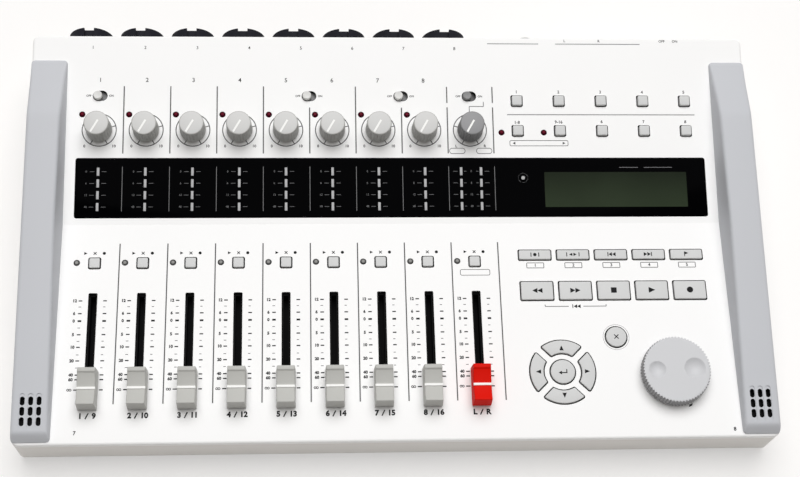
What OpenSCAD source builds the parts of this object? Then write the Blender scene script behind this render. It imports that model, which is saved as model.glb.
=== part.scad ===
// Table-top digital multitrack recorder: fader deck in front, tilted control deck behind, grey side rails.
// Millimetres, +X right, +Y to the rear, +Z up; the origin is the centre of the footprint on the table.

/* [Case] */
// Tilt of the rear deck in degrees
upper_tilt = 9; // [7:0.5:12]
// Height of the fader deck above the table
deck_z = 28; // [25:0.5:36]
// Distance from the fader slots to the front edge
front_inset = 20.5; // [18:0.5:30]
// Distance from the slide switches to the rear edge
rear_inset = 33; // [30:0.1:45]
// Thickness of the top cover plate
plate_t = 2.5; // [2:0.1:3]
// Wall thickness of the bottom cover and rails
wall_t = 2.5; // [2:0.1:3]
// Plan radius of the case corners
corner_r = 3.5; // [3.5:0.5:9]
// Bevel along the lower edge of the case
case_bevel = 3; // [1:0.5:3]
// Height of the rubber feet
foot_h = 3; // [2:0.5:5]

/* [Side rails] */
// Width of each rail
rail_w = 18.5; // [16:0.5:20]
// Rail height above the fader deck behind its nose
rail_front_h = 4.4; // [3:0.2:7]
// Rail height above the fader deck at its crest
rail_peak_h = 19.5; // [17:0.5:24]
// Plan distance from the bend line back to the crest
rail_peak_run = 54; // [45:1:65]
// Length of the slanted nose
rail_nose = 6.5; // [4:0.5:9]
// Strip of the tilted deck left behind the rails
rear_strip = 14; // [11:0.5:18]
// Width of one microphone slot
mic_slot_w = 2.4; // [1.8:0.1:2.8]

/* [Channel strips] */
// Distance between channel strips
strip_pitch = 24; // [21.5:0.25:28]
// Distance from the left rail to the first channel strip
strip_inset = 17; // [16:0.5:24]
// Travel of a fader
fader_travel = 45; // [30:1:60]
// Distance from the fader slots back to the track keys
track_key_gap = 16; // [12:0.5:22]
// Distance from the track keys back to the bend line
track_key_inset = 21; // [18:0.5:26]
// Width of a fader slot
fader_slot_w = 4.3; // [3:0.1:5]
// Width of a fader cap
cap_w = 10.2; // [8:0.1:12]
// Length of a fader cap
cap_l = 18.6; // [16:0.2:20]
// Height of a fader cap above the deck
cap_h = 10.6; // [9:0.2:12]

/* [Knobs and wheel] */
// Radius of a gain knob at its top
knob_r = 6.2; // [5:0.1:6.4]
// Radius of a gain knob at its skirt
knob_skirt_r = 6.7; // [6.6:0.1:7.6]
// Height of a gain knob above the deck
knob_h = 12.9; // [11:0.1:15]
// Distance from the display window back to the gain knobs
knob_gap = 15.4; // [13:0.1:20]
// Radius of the jog wheel at its skirt
jog_r = 17.1; // [15:0.1:18.5]
// Height of the jog wheel above the deck
jog_h = 7.8; // [7:0.1:10]

/* [Keys] */
// Width of a small square key
key_s = 5.2; // [5:0.1:6.5]
// Width of a wide key
wide_key_w = 16.3; // [15:0.1:18.5]
// Gap between two wide keys
wide_gap = 3.37; // [2.3:0.01:3.5]
// Spacing of the menu keys
menu_pitch = 22.35; // [20:0.05:25]
// Distance from the master strip to the first menu key
menu_gap = 25.2; // [22:0.1:30]
// Distance from the last menu key to the right rail
menu_inset = 14.4; // [14:0.1:20]
// Height of the keys above the deck
key_rise = 0.9; // [0.8:0.1:2]
// Travel of a key
key_travel = 0.8; // [0.4:0.1:1]
// Outer radius of the cursor keys
cursor_r = 16.3; // [15:0.1:17]

/* [Display] */
// Margin between the display window and a rail
window_side = 5.75; // [5:0.05:14]
// Margin between the bend line and the display window
window_front = 3.7; // [3:0.1:6]
// Depth of the display window
window_d = 31.2; // [28:0.1:35]
// Thickness of the display window
window_t = 1.5; // [1:0.1:1.8]

/* [Connectors] */
// Distance from the left side of the case to the first input jack
combo_inset = 28.3; // [24:0.1:32]
// Distance from the last input jack to the headphone socket
combo_gap = 29.2; // [20:0.1:32]
// Radius of an input jack's flange
combo_r = 11.5; // [10:0.1:11.8]
// Reach of the input jacks behind the rear edge
combo_reach = 6.3; // [4:0.1:8]
// Bore radius of the 6.35 mm jacks
jack_r = 3.2; // [3.19:0.01:3.25]

/* [Hidden] */
// Clearance between a moving piece and what is round it, and a small overlap for cuts
clear = 0.35;
eps = 0.5;
round_fn = 64;

// Runs across the panel and along the two decks
last_strip = 8;
last_key = 4;
inner_w = strip_inset + last_strip * strip_pitch + menu_gap + last_key * menu_pitch + menu_inset;
case_w = inner_w + 2 * rail_w;
fader_over = 6;
slot_l = fader_travel + 2 * fader_over;
front_run = front_inset + slot_l + track_key_gap + track_key_inset;
fader_rest = front_run - front_inset - fader_over;
knob_u = window_front + window_d + knob_gap;
slide_gap = 18.5;
slide_u = knob_u + slide_gap;
upper_run = slide_u + rear_inset;

// Case frame
phones_reach = 5;
rear_reach = max(combo_reach, phones_reach);
plan_d = front_run + upper_run * cos(upper_tilt);
kink_y = (front_run - upper_run * cos(upper_tilt) - rear_reach) / 2;
front_y = kink_y - front_run;
rear_y = front_y + plan_d;
plan_y = front_y + plan_d / 2;
rail_mid_x = (case_w - rail_w) / 2;
rail_end_y = kink_y + (upper_run - rear_strip) * cos(upper_tilt);
case_top = deck_z + rail_peak_h + knob_h;
floor_t = 2.2;
floor_top = foot_h + floor_t;
bend_under_y = kink_y + plate_t * tan(upper_tilt / 2);
under = -plate_t;

// Heights of the tilted deck's two faces over a plan position
function deck_top(y) = deck_z + (y - kink_y) * tan(upper_tilt);
function deck_under(y) = deck_top(y) - plate_t / cos(upper_tilt);

// Rail crest line
rail_nose_y = front_y + rail_nose;
rail_peak_y = kink_y + rail_peak_run;
rail_rate = (rail_peak_h - rail_front_h) / (rail_peak_y - rail_nose_y);
rail_slope = atan(rail_rate);
function rail_top(y) = deck_z + rail_front_h + (y - rail_nose_y) * rail_rate;
function rail_under(y) = rail_top(y) - wall_t / cos(rail_slope);
rail_tip_h = 1;
rail_tip_gap = 1.5;
rail_tail = 12;
rail_front_y = front_y + rail_tip_gap;
rail_end_z = deck_top(rail_end_y) + rail_tip_h;
rail_fall = (rail_end_z - rail_top(rail_peak_y)) / (rail_end_y - rail_peak_y);
function rail_ramp(y) = rail_end_z + (y - rail_end_y) * rail_fall;
mic_gap = 0.8;
mic_inset = 15.4;
mic_y = front_y + mic_inset;
mic_slot_l = 4.4;
mic_slot_dx = 4.1;
mic_slot_dy = 5.1;
mic_r = 4.5;
mic_h = 5;

// Boards below the two decks: depth of each board's top face below its deck
board_t = 1.6;
fader_board_n = -10.5;
upper_board_n = -9.5;
board_lift = 2.3;
main_board_left = 37.5;
main_board_right = 1;
main_board_front = 14;
main_board_rear = 2;
main_board_z = floor_top + board_lift;
main_board_w = [-case_w / 2 + main_board_left, case_w / 2 - wall_t - main_board_right];
main_board_y = [front_y + main_board_front, kink_y - main_board_rear];
jack_board_drop = 11;
jack_board_z = deck_z - jack_board_drop;
jack_board_d = 18;
fader_board_side = 5;
fader_board_front = 14;
fader_board_rear = 6;
fader_board_w = inner_w - 2 * fader_board_side;
fader_board_v0 = -front_run + fader_board_front;
fader_board_v1 = -fader_board_rear;
upper_board_side = 4;
upper_board_front = 5;
upper_board_rear = 25.5;
upper_board_w = inner_w - 2 * upper_board_side;
upper_board_u0 = upper_board_front;
upper_board_u1 = upper_run - upper_board_rear;

// Faders
slot_v0 = -fader_rest - fader_over;
slot_v1 = slot_v0 + slot_l;
strip_x0 = -inner_w / 2 + strip_inset;
track_over = 2.5;
track_end = 1;
track_w = 8;
lever_w = 1.2;
lever_l = 4;
lever_slot_w = lever_w + 4 * clear;
lever_floor_t = 1.4;
lever_over = 0.6;
lever_floor_n = fader_board_n + lever_floor_t;
lever_n = lever_floor_n + lever_over;
cap_lift = 1;
cap_draft = 1;
cap_lip = 1.4;
cap_dish = 1.5;
cap_nose = 0.3;
cap_back = 0.9;
cap_ridge = 0.9;
cap_ridge_y = -0.8;
cap_ridge_h = 0.4;

// Knobs, wheel and their shafts
shaft_r = 3;
shaft_hole_r = shaft_r + clear + 0.2;
shaft_bore_r = shaft_r + clear;
shaft_n = -6.5;
shaft_bore_n = shaft_n - 0.5;
knob_lift = 0.7;
skirt_h = 4;
skirt_step = 0.2;
pointer_w = 1;
pointer_sink = 0.5;
pointer_angle = 240;
pot_s = 11;
jog_inset = 31.7;
jog_front = 32.9;
jog_x = inner_w / 2 - jog_inset;
jog_v = -front_run + jog_front;
jog_lift = 0.8;
jog_bevel = 0.8;
jog_draft = 0.5;
jog_top_r = jog_r - jog_draft;
dimple_r = 9;
dimple_x = 9.6;
dimple_sink = 1.4;
encoder_s = 13;

// Keys: flange below the deck and stem above its switch
flange_gap = 0.4;
flange_t = 1;
flange_over = 0.6;
flange_top = under - flange_gap;
flange_n = flange_top - flange_t;
switch_h = 3.5;
switch_s = 6;
stem_r = 1.3;
stem_gap = key_travel + clear;
web_d = 1.8;
menu_web_gap = 0.4;
menu_web_drop = (key_s + web_d) / 2 + menu_web_gap;
track_key_v = -track_key_inset;
menu_x0 = strip_x0 + last_strip * strip_pitch + menu_gap;
wide_pitch = wide_key_w + wide_gap;
wide_shift = 5.9;
wide_x0 = menu_x0 + wide_shift;
function_v = -17.7;
function_d = 5;
transport_v = -37.3;
transport_d = 9.6;
menu_row_gap = 16.4;
menu_drop = 0.4;
menu_u = [knob_u - menu_drop + menu_row_gap, knob_u - menu_drop];
enter_shift = 16.2;
enter_front = 34.3;
enter_x = menu_x0 + enter_shift;
enter_v = -front_run + enter_front;
enter_r = 6.1;
exit_front = 52.3;
exit_shift = 0.35;
exit_x = (enter_x + jog_x) / 2 + exit_shift;
exit_v = -front_run + exit_front;
exit_r = 5.2;
cursor_in_r = 9.7;
cursor_gap = 4.2;

// Slide switches on the tilted deck
slide_strips = [0, 4.5, 6.5, last_strip];
slide_slot_w = 7.5;
slide_slot_d = 5.4;
slide_travel = 2.2;
nub_r = slide_slot_w / 2 - slide_travel / 2 - clear;
nub_rise = 1.4;
slide_lap = 1;
slide_body_w = 13;
slide_body_d = 7;
slide_body_h = 3.6;

// Lamps
lamp_r = 1.55;
lamp_rise = 0.4;
lamp_dx = -8.9;
peak_gap = 8.4;
peak_u = knob_u + peak_gap;
status_gap = 0.3;
status_v = track_key_v + status_gap;
bank_lamp_dx = -8.6;
bank_lamp_drop = 0.9;
bank_lamp_u = menu_u[1] - bank_lamp_drop;
meter_pitch = 6.23;
meter_drop = 0.65;
meter_bar_w = 1.6;
meter_bar_d = 4.4;
master_bar_dx = 5.2;

// Display
window_w = inner_w - 2 * window_side;
window_u = window_front + window_d / 2;
window_ledge = 3;
window_cut_w = window_w - 2 * window_ledge;
window_cut_d = window_d - 2 * window_ledge;
window_gap = 0.1;
lcd_side = 2.45;
lcd_drop = 1;
lcd_w = 84;
lcd_d = 23;
lcd_t = 4;
lcd_leg = 3;
lcd_x = window_w / 2 - window_ledge - lcd_side - lcd_w / 2;
lcd_u = window_u - lcd_drop;
meter_rows = [for (k = [1.5, 0.5, -0.5, -1.5]) window_u - meter_drop + k * meter_pitch];
beat_lamp_gap = 6.7;
beat_lamp_rise = 5.1;
beat_lamp = [lcd_x - lcd_w / 2 - beat_lamp_gap, window_u + beat_lamp_rise];

// Rear connectors
last_combo = 7;
dc_inset = 21.5;
power_gap = 18;
output_gap = 37.6;
output_pitch = 18.4;
phones_knob_gap = 19.5;
phones_gap = 15;
dc_x = case_w / 2 - dc_inset;
power_x = dc_x - power_gap;
output_right_x = power_x - output_gap;
output_left_x = output_right_x - output_pitch;
phones_knob_x = output_left_x - phones_knob_gap;
phones_x = phones_knob_x - phones_gap;
phone_x = [phones_x, output_left_x, output_right_x];
combo_x0 = -case_w / 2 + combo_inset;
combo_pitch = (phones_x - combo_gap - combo_x0) / last_combo;
combo_rise = 2;
combo_z = deck_z + combo_rise;
seat_gap = 0.1;
combo_barrel_r = 9.5;
combo_body_w = 21;
combo_in = 15;
combo_top = 7;
combo_top_z = combo_z + combo_top;
combo_bore_in = 12;
combo_bore_l = combo_reach + combo_bore_in;
combo_latch_w = 5;
combo_latch_d = 3;
pin_hole_r = 1.6;
pin_circle_r = 6.6;
phone_drop = 1.5;
phone_z = combo_z - phone_drop;
phone_ring_r = 6;
phone_neck_r = phone_ring_r - 1;
phone_ring_l = 3;
phone_body_w = 13;
phone_in = 16;
phone_bore_in = 15;
phone_bore_l = phone_ring_l + phone_bore_in;
phones_knob_r = 6.5;
phones_pot_w = 11;
phones_pot_l = 8;
phones_pot_back = 2;
phones_knob_lift = 1;
phones_shaft_gap = 1;
power_slot_w = 10.5;
power_slot_h = 5;
power_travel = 4;
power_nub_w = power_slot_w - power_travel - 2 * clear;
power_reach = 2.2;
power_body_w = 16;
power_body_d = 7;
power_body_gap = 2;
dc_w = 9;
dc_h = 11;
dc_bore_r = 2.8;
dc_pin_r = 1;
dc_in = 12;
dc_depth = 10;
dc_pin_sink = 1;

// Side sockets on the right rail
usb_front = 72;
usb_y = front_y + usb_front;
usb_dy = 20;
usb_z = main_board_z + board_t;
usb_a = [13.2, 7];
usb_b = [12, 10.8];
usb_mouth_a = [11.8, 5];
usb_mouth_b = [8.6, 7.8];
usb_in = 15;
usb_depth = 9;
usb_tongue_a = 1.8;
usb_tongue_b = 3.2;
usb_tongue_gap = 1;
card_front = 36;
card_y = front_y + card_front;
card_w = 28;
card_h = 3.4;
card_slot_w = 24.6;
card_slot_h = 2.4;
card_in = 28;

// Battery bay in the floor
bay_x = 0;
bay_rear = 45.2;
bay_y = rear_y - bay_rear;
bay_w = 158;
bay_d = 30;
bay_roof = 1.2;
bay_gap = 0.4;
door_over = 2;
door_w = bay_w + 2 * door_over;
door_d = bay_d + 2 * door_over;
door_sink = 0.3;
notch_w = 14;
notch_d = 5;
notch_inset = 4;
door_t = floor_t - door_sink;
door_clear = clear;
bay_wall = 4;
bay_front_y = bay_y - door_d / 2 - bay_wall;
bay_top = deck_top(bay_front_y) + (upper_board_n - board_t) / cos(upper_tilt) - bay_gap;
bay_h = bay_top - bay_roof - floor_top;

// Feet and screws
foot_r = 8;
foot_side = 24;
foot_end = 22;
foot_x = case_w / 2 - foot_side;
foot_y0 = front_y + foot_end;
foot_y1 = rear_y - foot_end;
screw_r = 1.4;
screw_head_r = 2.9;
screw_head_h = 1.4;
screw_in = 9;
screw_top = floor_top + screw_in;
post_r = 3.6;
post_gap = 0.3;
rail_screw_gap = 8;
rail_screw_inset = 14;
rail_screw_y = [main_board_y[1] + rail_screw_gap, rail_end_y - rail_screw_inset];
front_screw_x = 100;
front_screw_inset = 8;
front_screw_y = front_y + front_screw_inset;
screw_places = [[-rail_mid_x, rail_screw_y[0]], [rail_mid_x, rail_screw_y[0]], [-rail_mid_x, rail_screw_y[1]],
    [rail_mid_x, rail_screw_y[1]], [-front_screw_x, front_screw_y], [front_screw_x, front_screw_y]];
board_post_r = 3;
board_post_side = 47.5;
board_post_inset = 8;
board_post_x = case_w / 2 - board_post_side;

// Colours
white = [0.93, 0.93, 0.92];
rail_grey = [0.73, 0.75, 0.77];
case_grey = [0.8, 0.81, 0.82];
cap_grey = [0.72, 0.72, 0.7];
key_grey = [0.82, 0.82, 0.82];
knob_grey = [0.68, 0.68, 0.68];
dark_grey = [0.4, 0.4, 0.41];
black = [0.06, 0.06, 0.07];
red = [0.85, 0.1, 0.08];
steel = [0.7, 0.71, 0.72];
board_green = [0.1, 0.32, 0.16];
lamp_red = [0.35, 0.03, 0.08];
lcd_green = [0.2, 0.23, 0.17];

function strip_x(i) = strip_x0 + i * strip_pitch;
function wide_x(i) = wide_x0 + i * wide_pitch;
function menu_x(i) = menu_x0 + i * menu_pitch;
function combo_x(i) = combo_x0 + i * combo_pitch;
function slide_x(k) = strip_x(slide_strips[k]);

// Places a piece on the level deck, v behind the bend line
module on_deck(x, v) {
    translate([x, kink_y + v, deck_z])
        children();
}

// Places a piece on the tilted deck, u up its slope
module on_upper(x, u) {
    translate([x, kink_y, deck_z])
        rotate([upper_tilt, 0, 0])
            translate([0, u, 0])
                children();
}

// Places a piece on the rear face, its own +Z pointing to the rear
module on_rear(x, z) {
    translate([x, rear_y, z])
        rotate([-90, 0, 0])
            children();
}

module block(w, d, z0, z1) {
    translate([-w / 2, -d / 2, z0])
        cube([w, d, z1 - z0]);
}

module rod(r, z0, z1) {
    translate([0, 0, z0])
        cylinder(r = r, h = z1 - z0, $fn = round_fn);
}

// Prism along X over a profile of [y, z] points
module x_prism(x0, w, points) {
    translate([x0, 0, 0])
        rotate([90, 0, 90])
            linear_extrude(w)
                polygon(points);
}

// Prism along Y over a profile of [x, z] points
module y_prism(y0, d, points) {
    translate([0, y0 + d, 0])
        rotate([90, 0, 0])
            linear_extrude(d)
                polygon(points);
}

module rounded(w, d, r) {
    square([w - 2 * r, d], center = true);
    square([w, d - 2 * r], center = true);
    for (sx = [-1, 1])
        for (sy = [-1, 1])
            translate([sx * (w / 2 - r), sy * (d / 2 - r)])
                circle(r, $fn = round_fn);
}

// Upright prism over the case outline, moved inwards by inset
module plan(z0, z1, inset = 0) {
    translate([0, plan_y, z0])
        linear_extrude(z1 - z0)
            rounded(case_w - 2 * inset, plan_d - 2 * inset, corner_r - inset);
}

// Openings of the side sockets in the right wall
module side_openings() {
    translate([case_w / 2, usb_y, usb_z])
        block(4 * wall_t, usb_a[0] + 2 * clear, 0, usb_a[1] + clear);
    translate([case_w / 2, usb_y + usb_dy, usb_z])
        block(4 * wall_t, usb_b[0] + 2 * clear, 0, usb_b[1] + clear);
    translate([case_w / 2, card_y, usb_z + card_h / 2])
        block(4 * wall_t, card_slot_w + 2 * clear, -card_slot_h / 2 - clear, card_slot_h / 2 + clear);
}

module bottom_cover() {
    cut = case_bevel + eps;
    side = case_w / 2 + eps;
    tub = [[front_y + case_bevel + eps, foot_h - eps], [front_y - eps, foot_h + cut],
        [front_y - eps, deck_z - plate_t], [bend_under_y, deck_z - plate_t],
        [rear_y + eps, deck_under(rear_y + eps)], [rear_y + eps, foot_h + cut],
        [rear_y - case_bevel - eps, foot_h - eps]];
    across = [[-side, case_top], [-side, foot_h + cut], [eps + cut - side, foot_h - eps],
        [side - cut - eps, foot_h - eps], [side, foot_h + cut], [side, case_top]];
    color(case_grey)
    difference() {
        union() {
            difference() {
                intersection() {
                    plan(foot_h, case_top);
                    x_prism(-case_w / 2 - eps, case_w + 2 * eps, tub);
                    y_prism(front_y - eps, plan_d + 2 * eps, across);
                }
                plan(floor_top, case_top + eps, wall_t);
            }
            translate([bay_x, bay_y, 0])
                difference() {
                    block(door_w + 2 * bay_wall, door_d + 2 * bay_wall, foot_h, bay_top);
                    block(bay_w, bay_d, floor_top, floor_top + bay_h);
                }
            for (x = [-board_post_x, board_post_x])
                for (y = [main_board_y[0] + board_post_inset, main_board_y[1] - board_post_inset])
                    translate([x, y, 0])
                        rod(board_post_r, foot_h, main_board_z);
        }
        translate([bay_x, bay_y, 0])
            block(door_w + 2 * door_clear, door_d + 2 * door_clear, foot_h - eps, floor_top);
        side_openings();
        for (p = screw_places)
            translate([p[0], p[1], 0]) {
                rod(screw_head_r, foot_h - eps, foot_h + screw_head_h);
                rod(screw_r, foot_h, floor_top + eps);
            }
        for (i = [0 : last_combo])
            on_rear(combo_x(i), combo_z)
                rod(combo_barrel_r + seat_gap, -2 * wall_t, eps);
        for (x = phone_x)
            on_rear(x, phone_z)
                rod(phone_neck_r + seat_gap, -2 * wall_t, eps);
        on_rear(phones_knob_x, phone_z)
            rod(shaft_hole_r, -2 * wall_t, eps);
        on_rear(power_x, phone_z)
            block(power_slot_w, power_slot_h, -2 * wall_t, eps);
        on_rear(dc_x, phone_z)
            block(dc_w, dc_h, -2 * wall_t, eps);
    }
}

// Cut for a key in the deck
module key_cut(w, d) {
    block(w + 2 * clear, d + 2 * clear, under - eps, eps);
}

module cursor_ring(outer_r, inner_r, gap, n0, n1) {
    difference() {
        rod(outer_r, n0, n1);
        rod(inner_r, n0 - eps, n1 + eps);
        for (a = [45, 135])
            rotate([0, 0, a])
                block(2 * outer_r + 2, gap, n0 - eps, n1 + eps);
    }
}

module top_cover() {
    plate = [[front_y - eps, deck_z - plate_t], [front_y - eps, deck_z], [kink_y, deck_z],
        [rear_y + eps, deck_top(rear_y + eps)], [rear_y + eps, deck_under(rear_y + eps)],
        [bend_under_y, deck_z - plate_t]];
    color(white)
    difference() {
        union() {
            intersection() {
                plan(foot_h, case_top);
                x_prism(-case_w / 2 - eps, case_w + 2 * eps, plate);
            }
            for (s = [-1, 1])
                translate([s * front_screw_x, front_screw_y, 0])
                    rod(post_r, floor_top, deck_z - plate_t / 2);
        }
        for (i = [0 : last_strip]) {
            on_deck(strip_x(i), (slot_v0 + slot_v1) / 2)
                block(fader_slot_w, slot_v1 - slot_v0, under - eps, eps);
            on_deck(strip_x(i), track_key_v)
                key_cut(key_s, key_s);
            on_deck(strip_x(i) + lamp_dx, status_v)
                rod(lamp_r, under - eps, eps);
            on_upper(strip_x(i), knob_u)
                rod(shaft_hole_r, under - eps, eps);
        }
        for (i = [0 : last_strip - 1])
            on_upper(strip_x(i) + lamp_dx, peak_u)
                rod(lamp_r, under - eps, eps);
        for (i = [0, 1])
            on_upper(menu_x(i) + bank_lamp_dx, bank_lamp_u)
                rod(lamp_r, under - eps, eps);
        for (k = [0 : 3])
            on_upper(slide_x(k), slide_u)
                block(slide_slot_w, slide_slot_d, under - eps, eps);
        for (i = [0 : last_key]) {
            on_deck(wide_x(i), function_v)
                key_cut(wide_key_w, function_d);
            on_deck(wide_x(i), transport_v)
                key_cut(wide_key_w, transport_d);
            for (u = menu_u)
                on_upper(menu_x(i), u)
                    key_cut(key_s, key_s);
        }
        on_deck(exit_x, exit_v)
            rod(exit_r + clear, under - eps, eps);
        on_deck(enter_x, enter_v) {
            rod(enter_r + clear, under - eps, eps);
            cursor_ring(cursor_r + clear, cursor_in_r - clear, cursor_gap - 2 * clear, under - eps, eps);
        }
        on_deck(jog_x, jog_v)
            rod(shaft_hole_r, under - eps, eps);
        on_upper(0, window_u) {
            block(window_w + 2 * window_gap, window_d + 2 * window_gap, -window_t, eps);
            block(window_cut_w, window_cut_d, under - eps, eps);
        }
        for (s = [-1, 1]) {
            translate([s * front_screw_x, front_screw_y, 0])
                rod(screw_r, floor_top - eps, screw_top);
            translate([s * rail_mid_x, mic_y, 0])
                rod(mic_r + mic_gap, floor_top, case_top);
            for (y = rail_screw_y)
                translate([s * rail_mid_x, y, 0])
                    rod(post_r + post_gap, floor_top, case_top);
        }
    }
}

// Left side rail, open below and standing on the deck; the right one is its mirror image
module rail() {
    x0 = -case_w / 2;
    tail_y = rail_end_y - rail_tail;
    profile = [[rail_front_y, deck_z], [rail_front_y, deck_z + rail_tip_h],
        [rail_nose_y, rail_top(rail_nose_y)], [rail_peak_y, rail_top(rail_peak_y)],
        [rail_end_y, rail_ramp(rail_end_y)],
        [rail_end_y, deck_top(rail_end_y)], [kink_y, deck_z]];
    hollow_y = [rail_nose_y + wall_t / 2, rail_peak_y - wall_t / 2];
    hollow = [[hollow_y[0], deck_z - eps], [hollow_y[0], rail_under(hollow_y[0])],
        [hollow_y[1], rail_under(hollow_y[1])], [tail_y, rail_ramp(tail_y) - wall_t],
        [tail_y, deck_top(tail_y) - eps], [kink_y, deck_z - eps]];
    difference() {
        union() {
            difference() {
                intersection() {
                    plan(foot_h, case_top);
                    x_prism(x0 - eps, rail_w + eps, profile);
                }
                intersection() {
                    plan(foot_h, case_top, wall_t);
                    x_prism(x0, rail_w - wall_t, hollow);
                }
            }
            children();
        }
        for (i = [-1 : 1])
            for (j = [-1 : 1])
                translate([-rail_mid_x + i * mic_slot_dx, mic_y + j * mic_slot_dy, 0]) {
                    block(mic_slot_w, mic_slot_l - mic_slot_w, deck_z + rail_tip_h, case_top);
                    for (s = [-1, 1])
                        translate([0, s * (mic_slot_l - mic_slot_w) / 2, 0])
                            rod(mic_slot_w / 2, deck_z + rail_tip_h, case_top);
                }
    }
}

// Screw post from a rail's top wall through the deck to the floor of the case
module rail_post(y) {
    translate([-rail_mid_x, y, 0])
        difference() {
            rod(post_r, floor_top, min(rail_top(y), rail_ramp(y)) - wall_t / 2);
            rod(screw_r, floor_top - eps, screw_top);
        }
}

module left_rail() {
    color(rail_grey)
    rail() {
        for (y = rail_screw_y)
            rail_post(y);
    }
}

module right_rail() {
    color(rail_grey)
    mirror([1, 0, 0])
        rail() {
            for (y = rail_screw_y)
                rail_post(y);
        }
}

module display_window() {
    color(black)
    on_upper(0, window_u)
        block(window_w, window_d, -window_t, 0);
}

// Glass in a metal frame that stands on the upper board by four legs
module lcd_module() {
    color(lcd_green)
    on_upper(lcd_x, lcd_u) {
        block(lcd_w, lcd_d, under - lcd_t, under);
        for (sx = [-1, 1])
            for (sy = [-1, 1])
                translate([sx * (lcd_w - lcd_leg) / 2, sy * (lcd_d - lcd_leg) / 2, 0])
                    block(lcd_leg, lcd_leg, upper_board_n, under - lcd_t);
    }
}

// Level meter bars below the window, and the single lamps in the two decks
module panel_leds() {
    color(lamp_red) {
        for (u = meter_rows) {
            for (i = [0 : last_strip - 1])
                on_upper(strip_x(i), u)
                    block(meter_bar_w, meter_bar_d, upper_board_n, under);
            for (s = [-1, 1])
                on_upper(strip_x(last_strip) + s * master_bar_dx, u)
                    block(meter_bar_w, meter_bar_d, upper_board_n, under);
        }
        on_upper(beat_lamp[0], beat_lamp[1])
            rod(lamp_r, upper_board_n, under);
        for (i = [0 : last_strip - 1])
            on_upper(strip_x(i) + lamp_dx, peak_u)
                rod(lamp_r, upper_board_n, lamp_rise);
        for (i = [0, 1])
            on_upper(menu_x(i) + bank_lamp_dx, bank_lamp_u)
                rod(lamp_r, upper_board_n, lamp_rise);
        for (i = [0 : last_strip])
            on_deck(strip_x(i) + lamp_dx, status_v)
                rod(lamp_r, fader_board_n, lamp_rise);
    }
}

module fader_board() {
    color(board_green)
    on_deck(0, (fader_board_v0 + fader_board_v1) / 2)
        block(fader_board_w, fader_board_v1 - fader_board_v0, fader_board_n - board_t, fader_board_n);
}

module upper_board() {
    color(board_green)
    on_upper(0, (upper_board_u0 + upper_board_u1) / 2)
        block(upper_board_w, upper_board_u1 - upper_board_u0, upper_board_n - board_t, upper_board_n);
}

module main_board() {
    color(board_green)
    translate([main_board_w[0], main_board_y[0], main_board_z])
        cube([main_board_w[1] - main_board_w[0], main_board_y[1] - main_board_y[0], board_t]);
}

module jack_board() {
    color(board_green)
    translate([-inner_w / 2 + clear, rear_y - wall_t - jack_board_d, jack_board_z - board_t])
        cube([inner_w - 2 * clear, jack_board_d, board_t]);
}

// Slide potentiometer bodies between the fader board and the deck
module fader_tracks() {
    color(steel)
    for (i = [0 : last_strip])
        on_deck(strip_x(i), (slot_v0 + slot_v1) / 2)
            difference() {
                block(track_w, slot_v1 - slot_v0 + 2 * track_over, fader_board_n, under);
                block(lever_slot_w, slot_l - 2 * track_end, lever_floor_n, under + eps);
            }
}

// Potentiometer bodies of the nine knobs and of the headphone volume
module rotary_pots() {
    color(dark_grey) {
        for (i = [0 : last_strip])
            on_upper(strip_x(i), knob_u)
                difference() {
                    block(pot_s, pot_s, upper_board_n, under);
                    rod(shaft_bore_r, shaft_bore_n, under + eps);
                }
        translate([phones_knob_x, 0, 0])
            difference() {
                translate([-phones_pot_w / 2, rear_y - wall_t - phones_pot_l, jack_board_z])
                    cube([phones_pot_w, phones_pot_l, phone_z - jack_board_z + phones_pot_w / 2]);
                on_rear(0, phone_z)
                    rod(shaft_bore_r, -wall_t - phones_pot_l + phones_pot_back, 0);
            }
    }
}

module key_switch(n) {
    block(switch_s, switch_s, n, n + switch_h);
}

// Push switches under the keys and the bodies of the slide switches
module panel_switches() {
    color(dark_grey) {
        for (i = [0 : last_strip])
            on_deck(strip_x(i), track_key_v)
                key_switch(fader_board_n);
        for (i = [0 : last_key]) {
            on_deck(wide_x(i), function_v)
                key_switch(fader_board_n);
            on_deck(wide_x(i), transport_v)
                key_switch(fader_board_n);
            for (u = menu_u)
                on_upper(menu_x(i), u)
                    key_switch(upper_board_n);
        }
        on_deck(exit_x, exit_v)
            key_switch(fader_board_n);
        on_deck(enter_x, enter_v) {
            key_switch(fader_board_n);
            for (a = [0 : 90 : 270])
                rotate([0, 0, a])
                    translate([(cursor_r + cursor_in_r) / 2, 0, 0])
                        key_switch(fader_board_n);
        }
        for (k = [0 : 3])
            on_upper(slide_x(k), slide_u)
                block(slide_body_w, slide_body_d, upper_board_n, upper_board_n + slide_body_h);
        translate([power_x, rear_y - wall_t - power_body_gap - power_body_d / 2, 0])
            block(power_body_w, power_body_d, jack_board_z, phone_z + power_slot_h / 2);
    }
}

module jog_encoder() {
    color(steel)
    on_deck(jog_x, jog_v)
        difference() {
            block(encoder_s, encoder_s, fader_board_n, under);
            rod(shaft_bore_r, shaft_bore_n, under + eps);
        }
}

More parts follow.
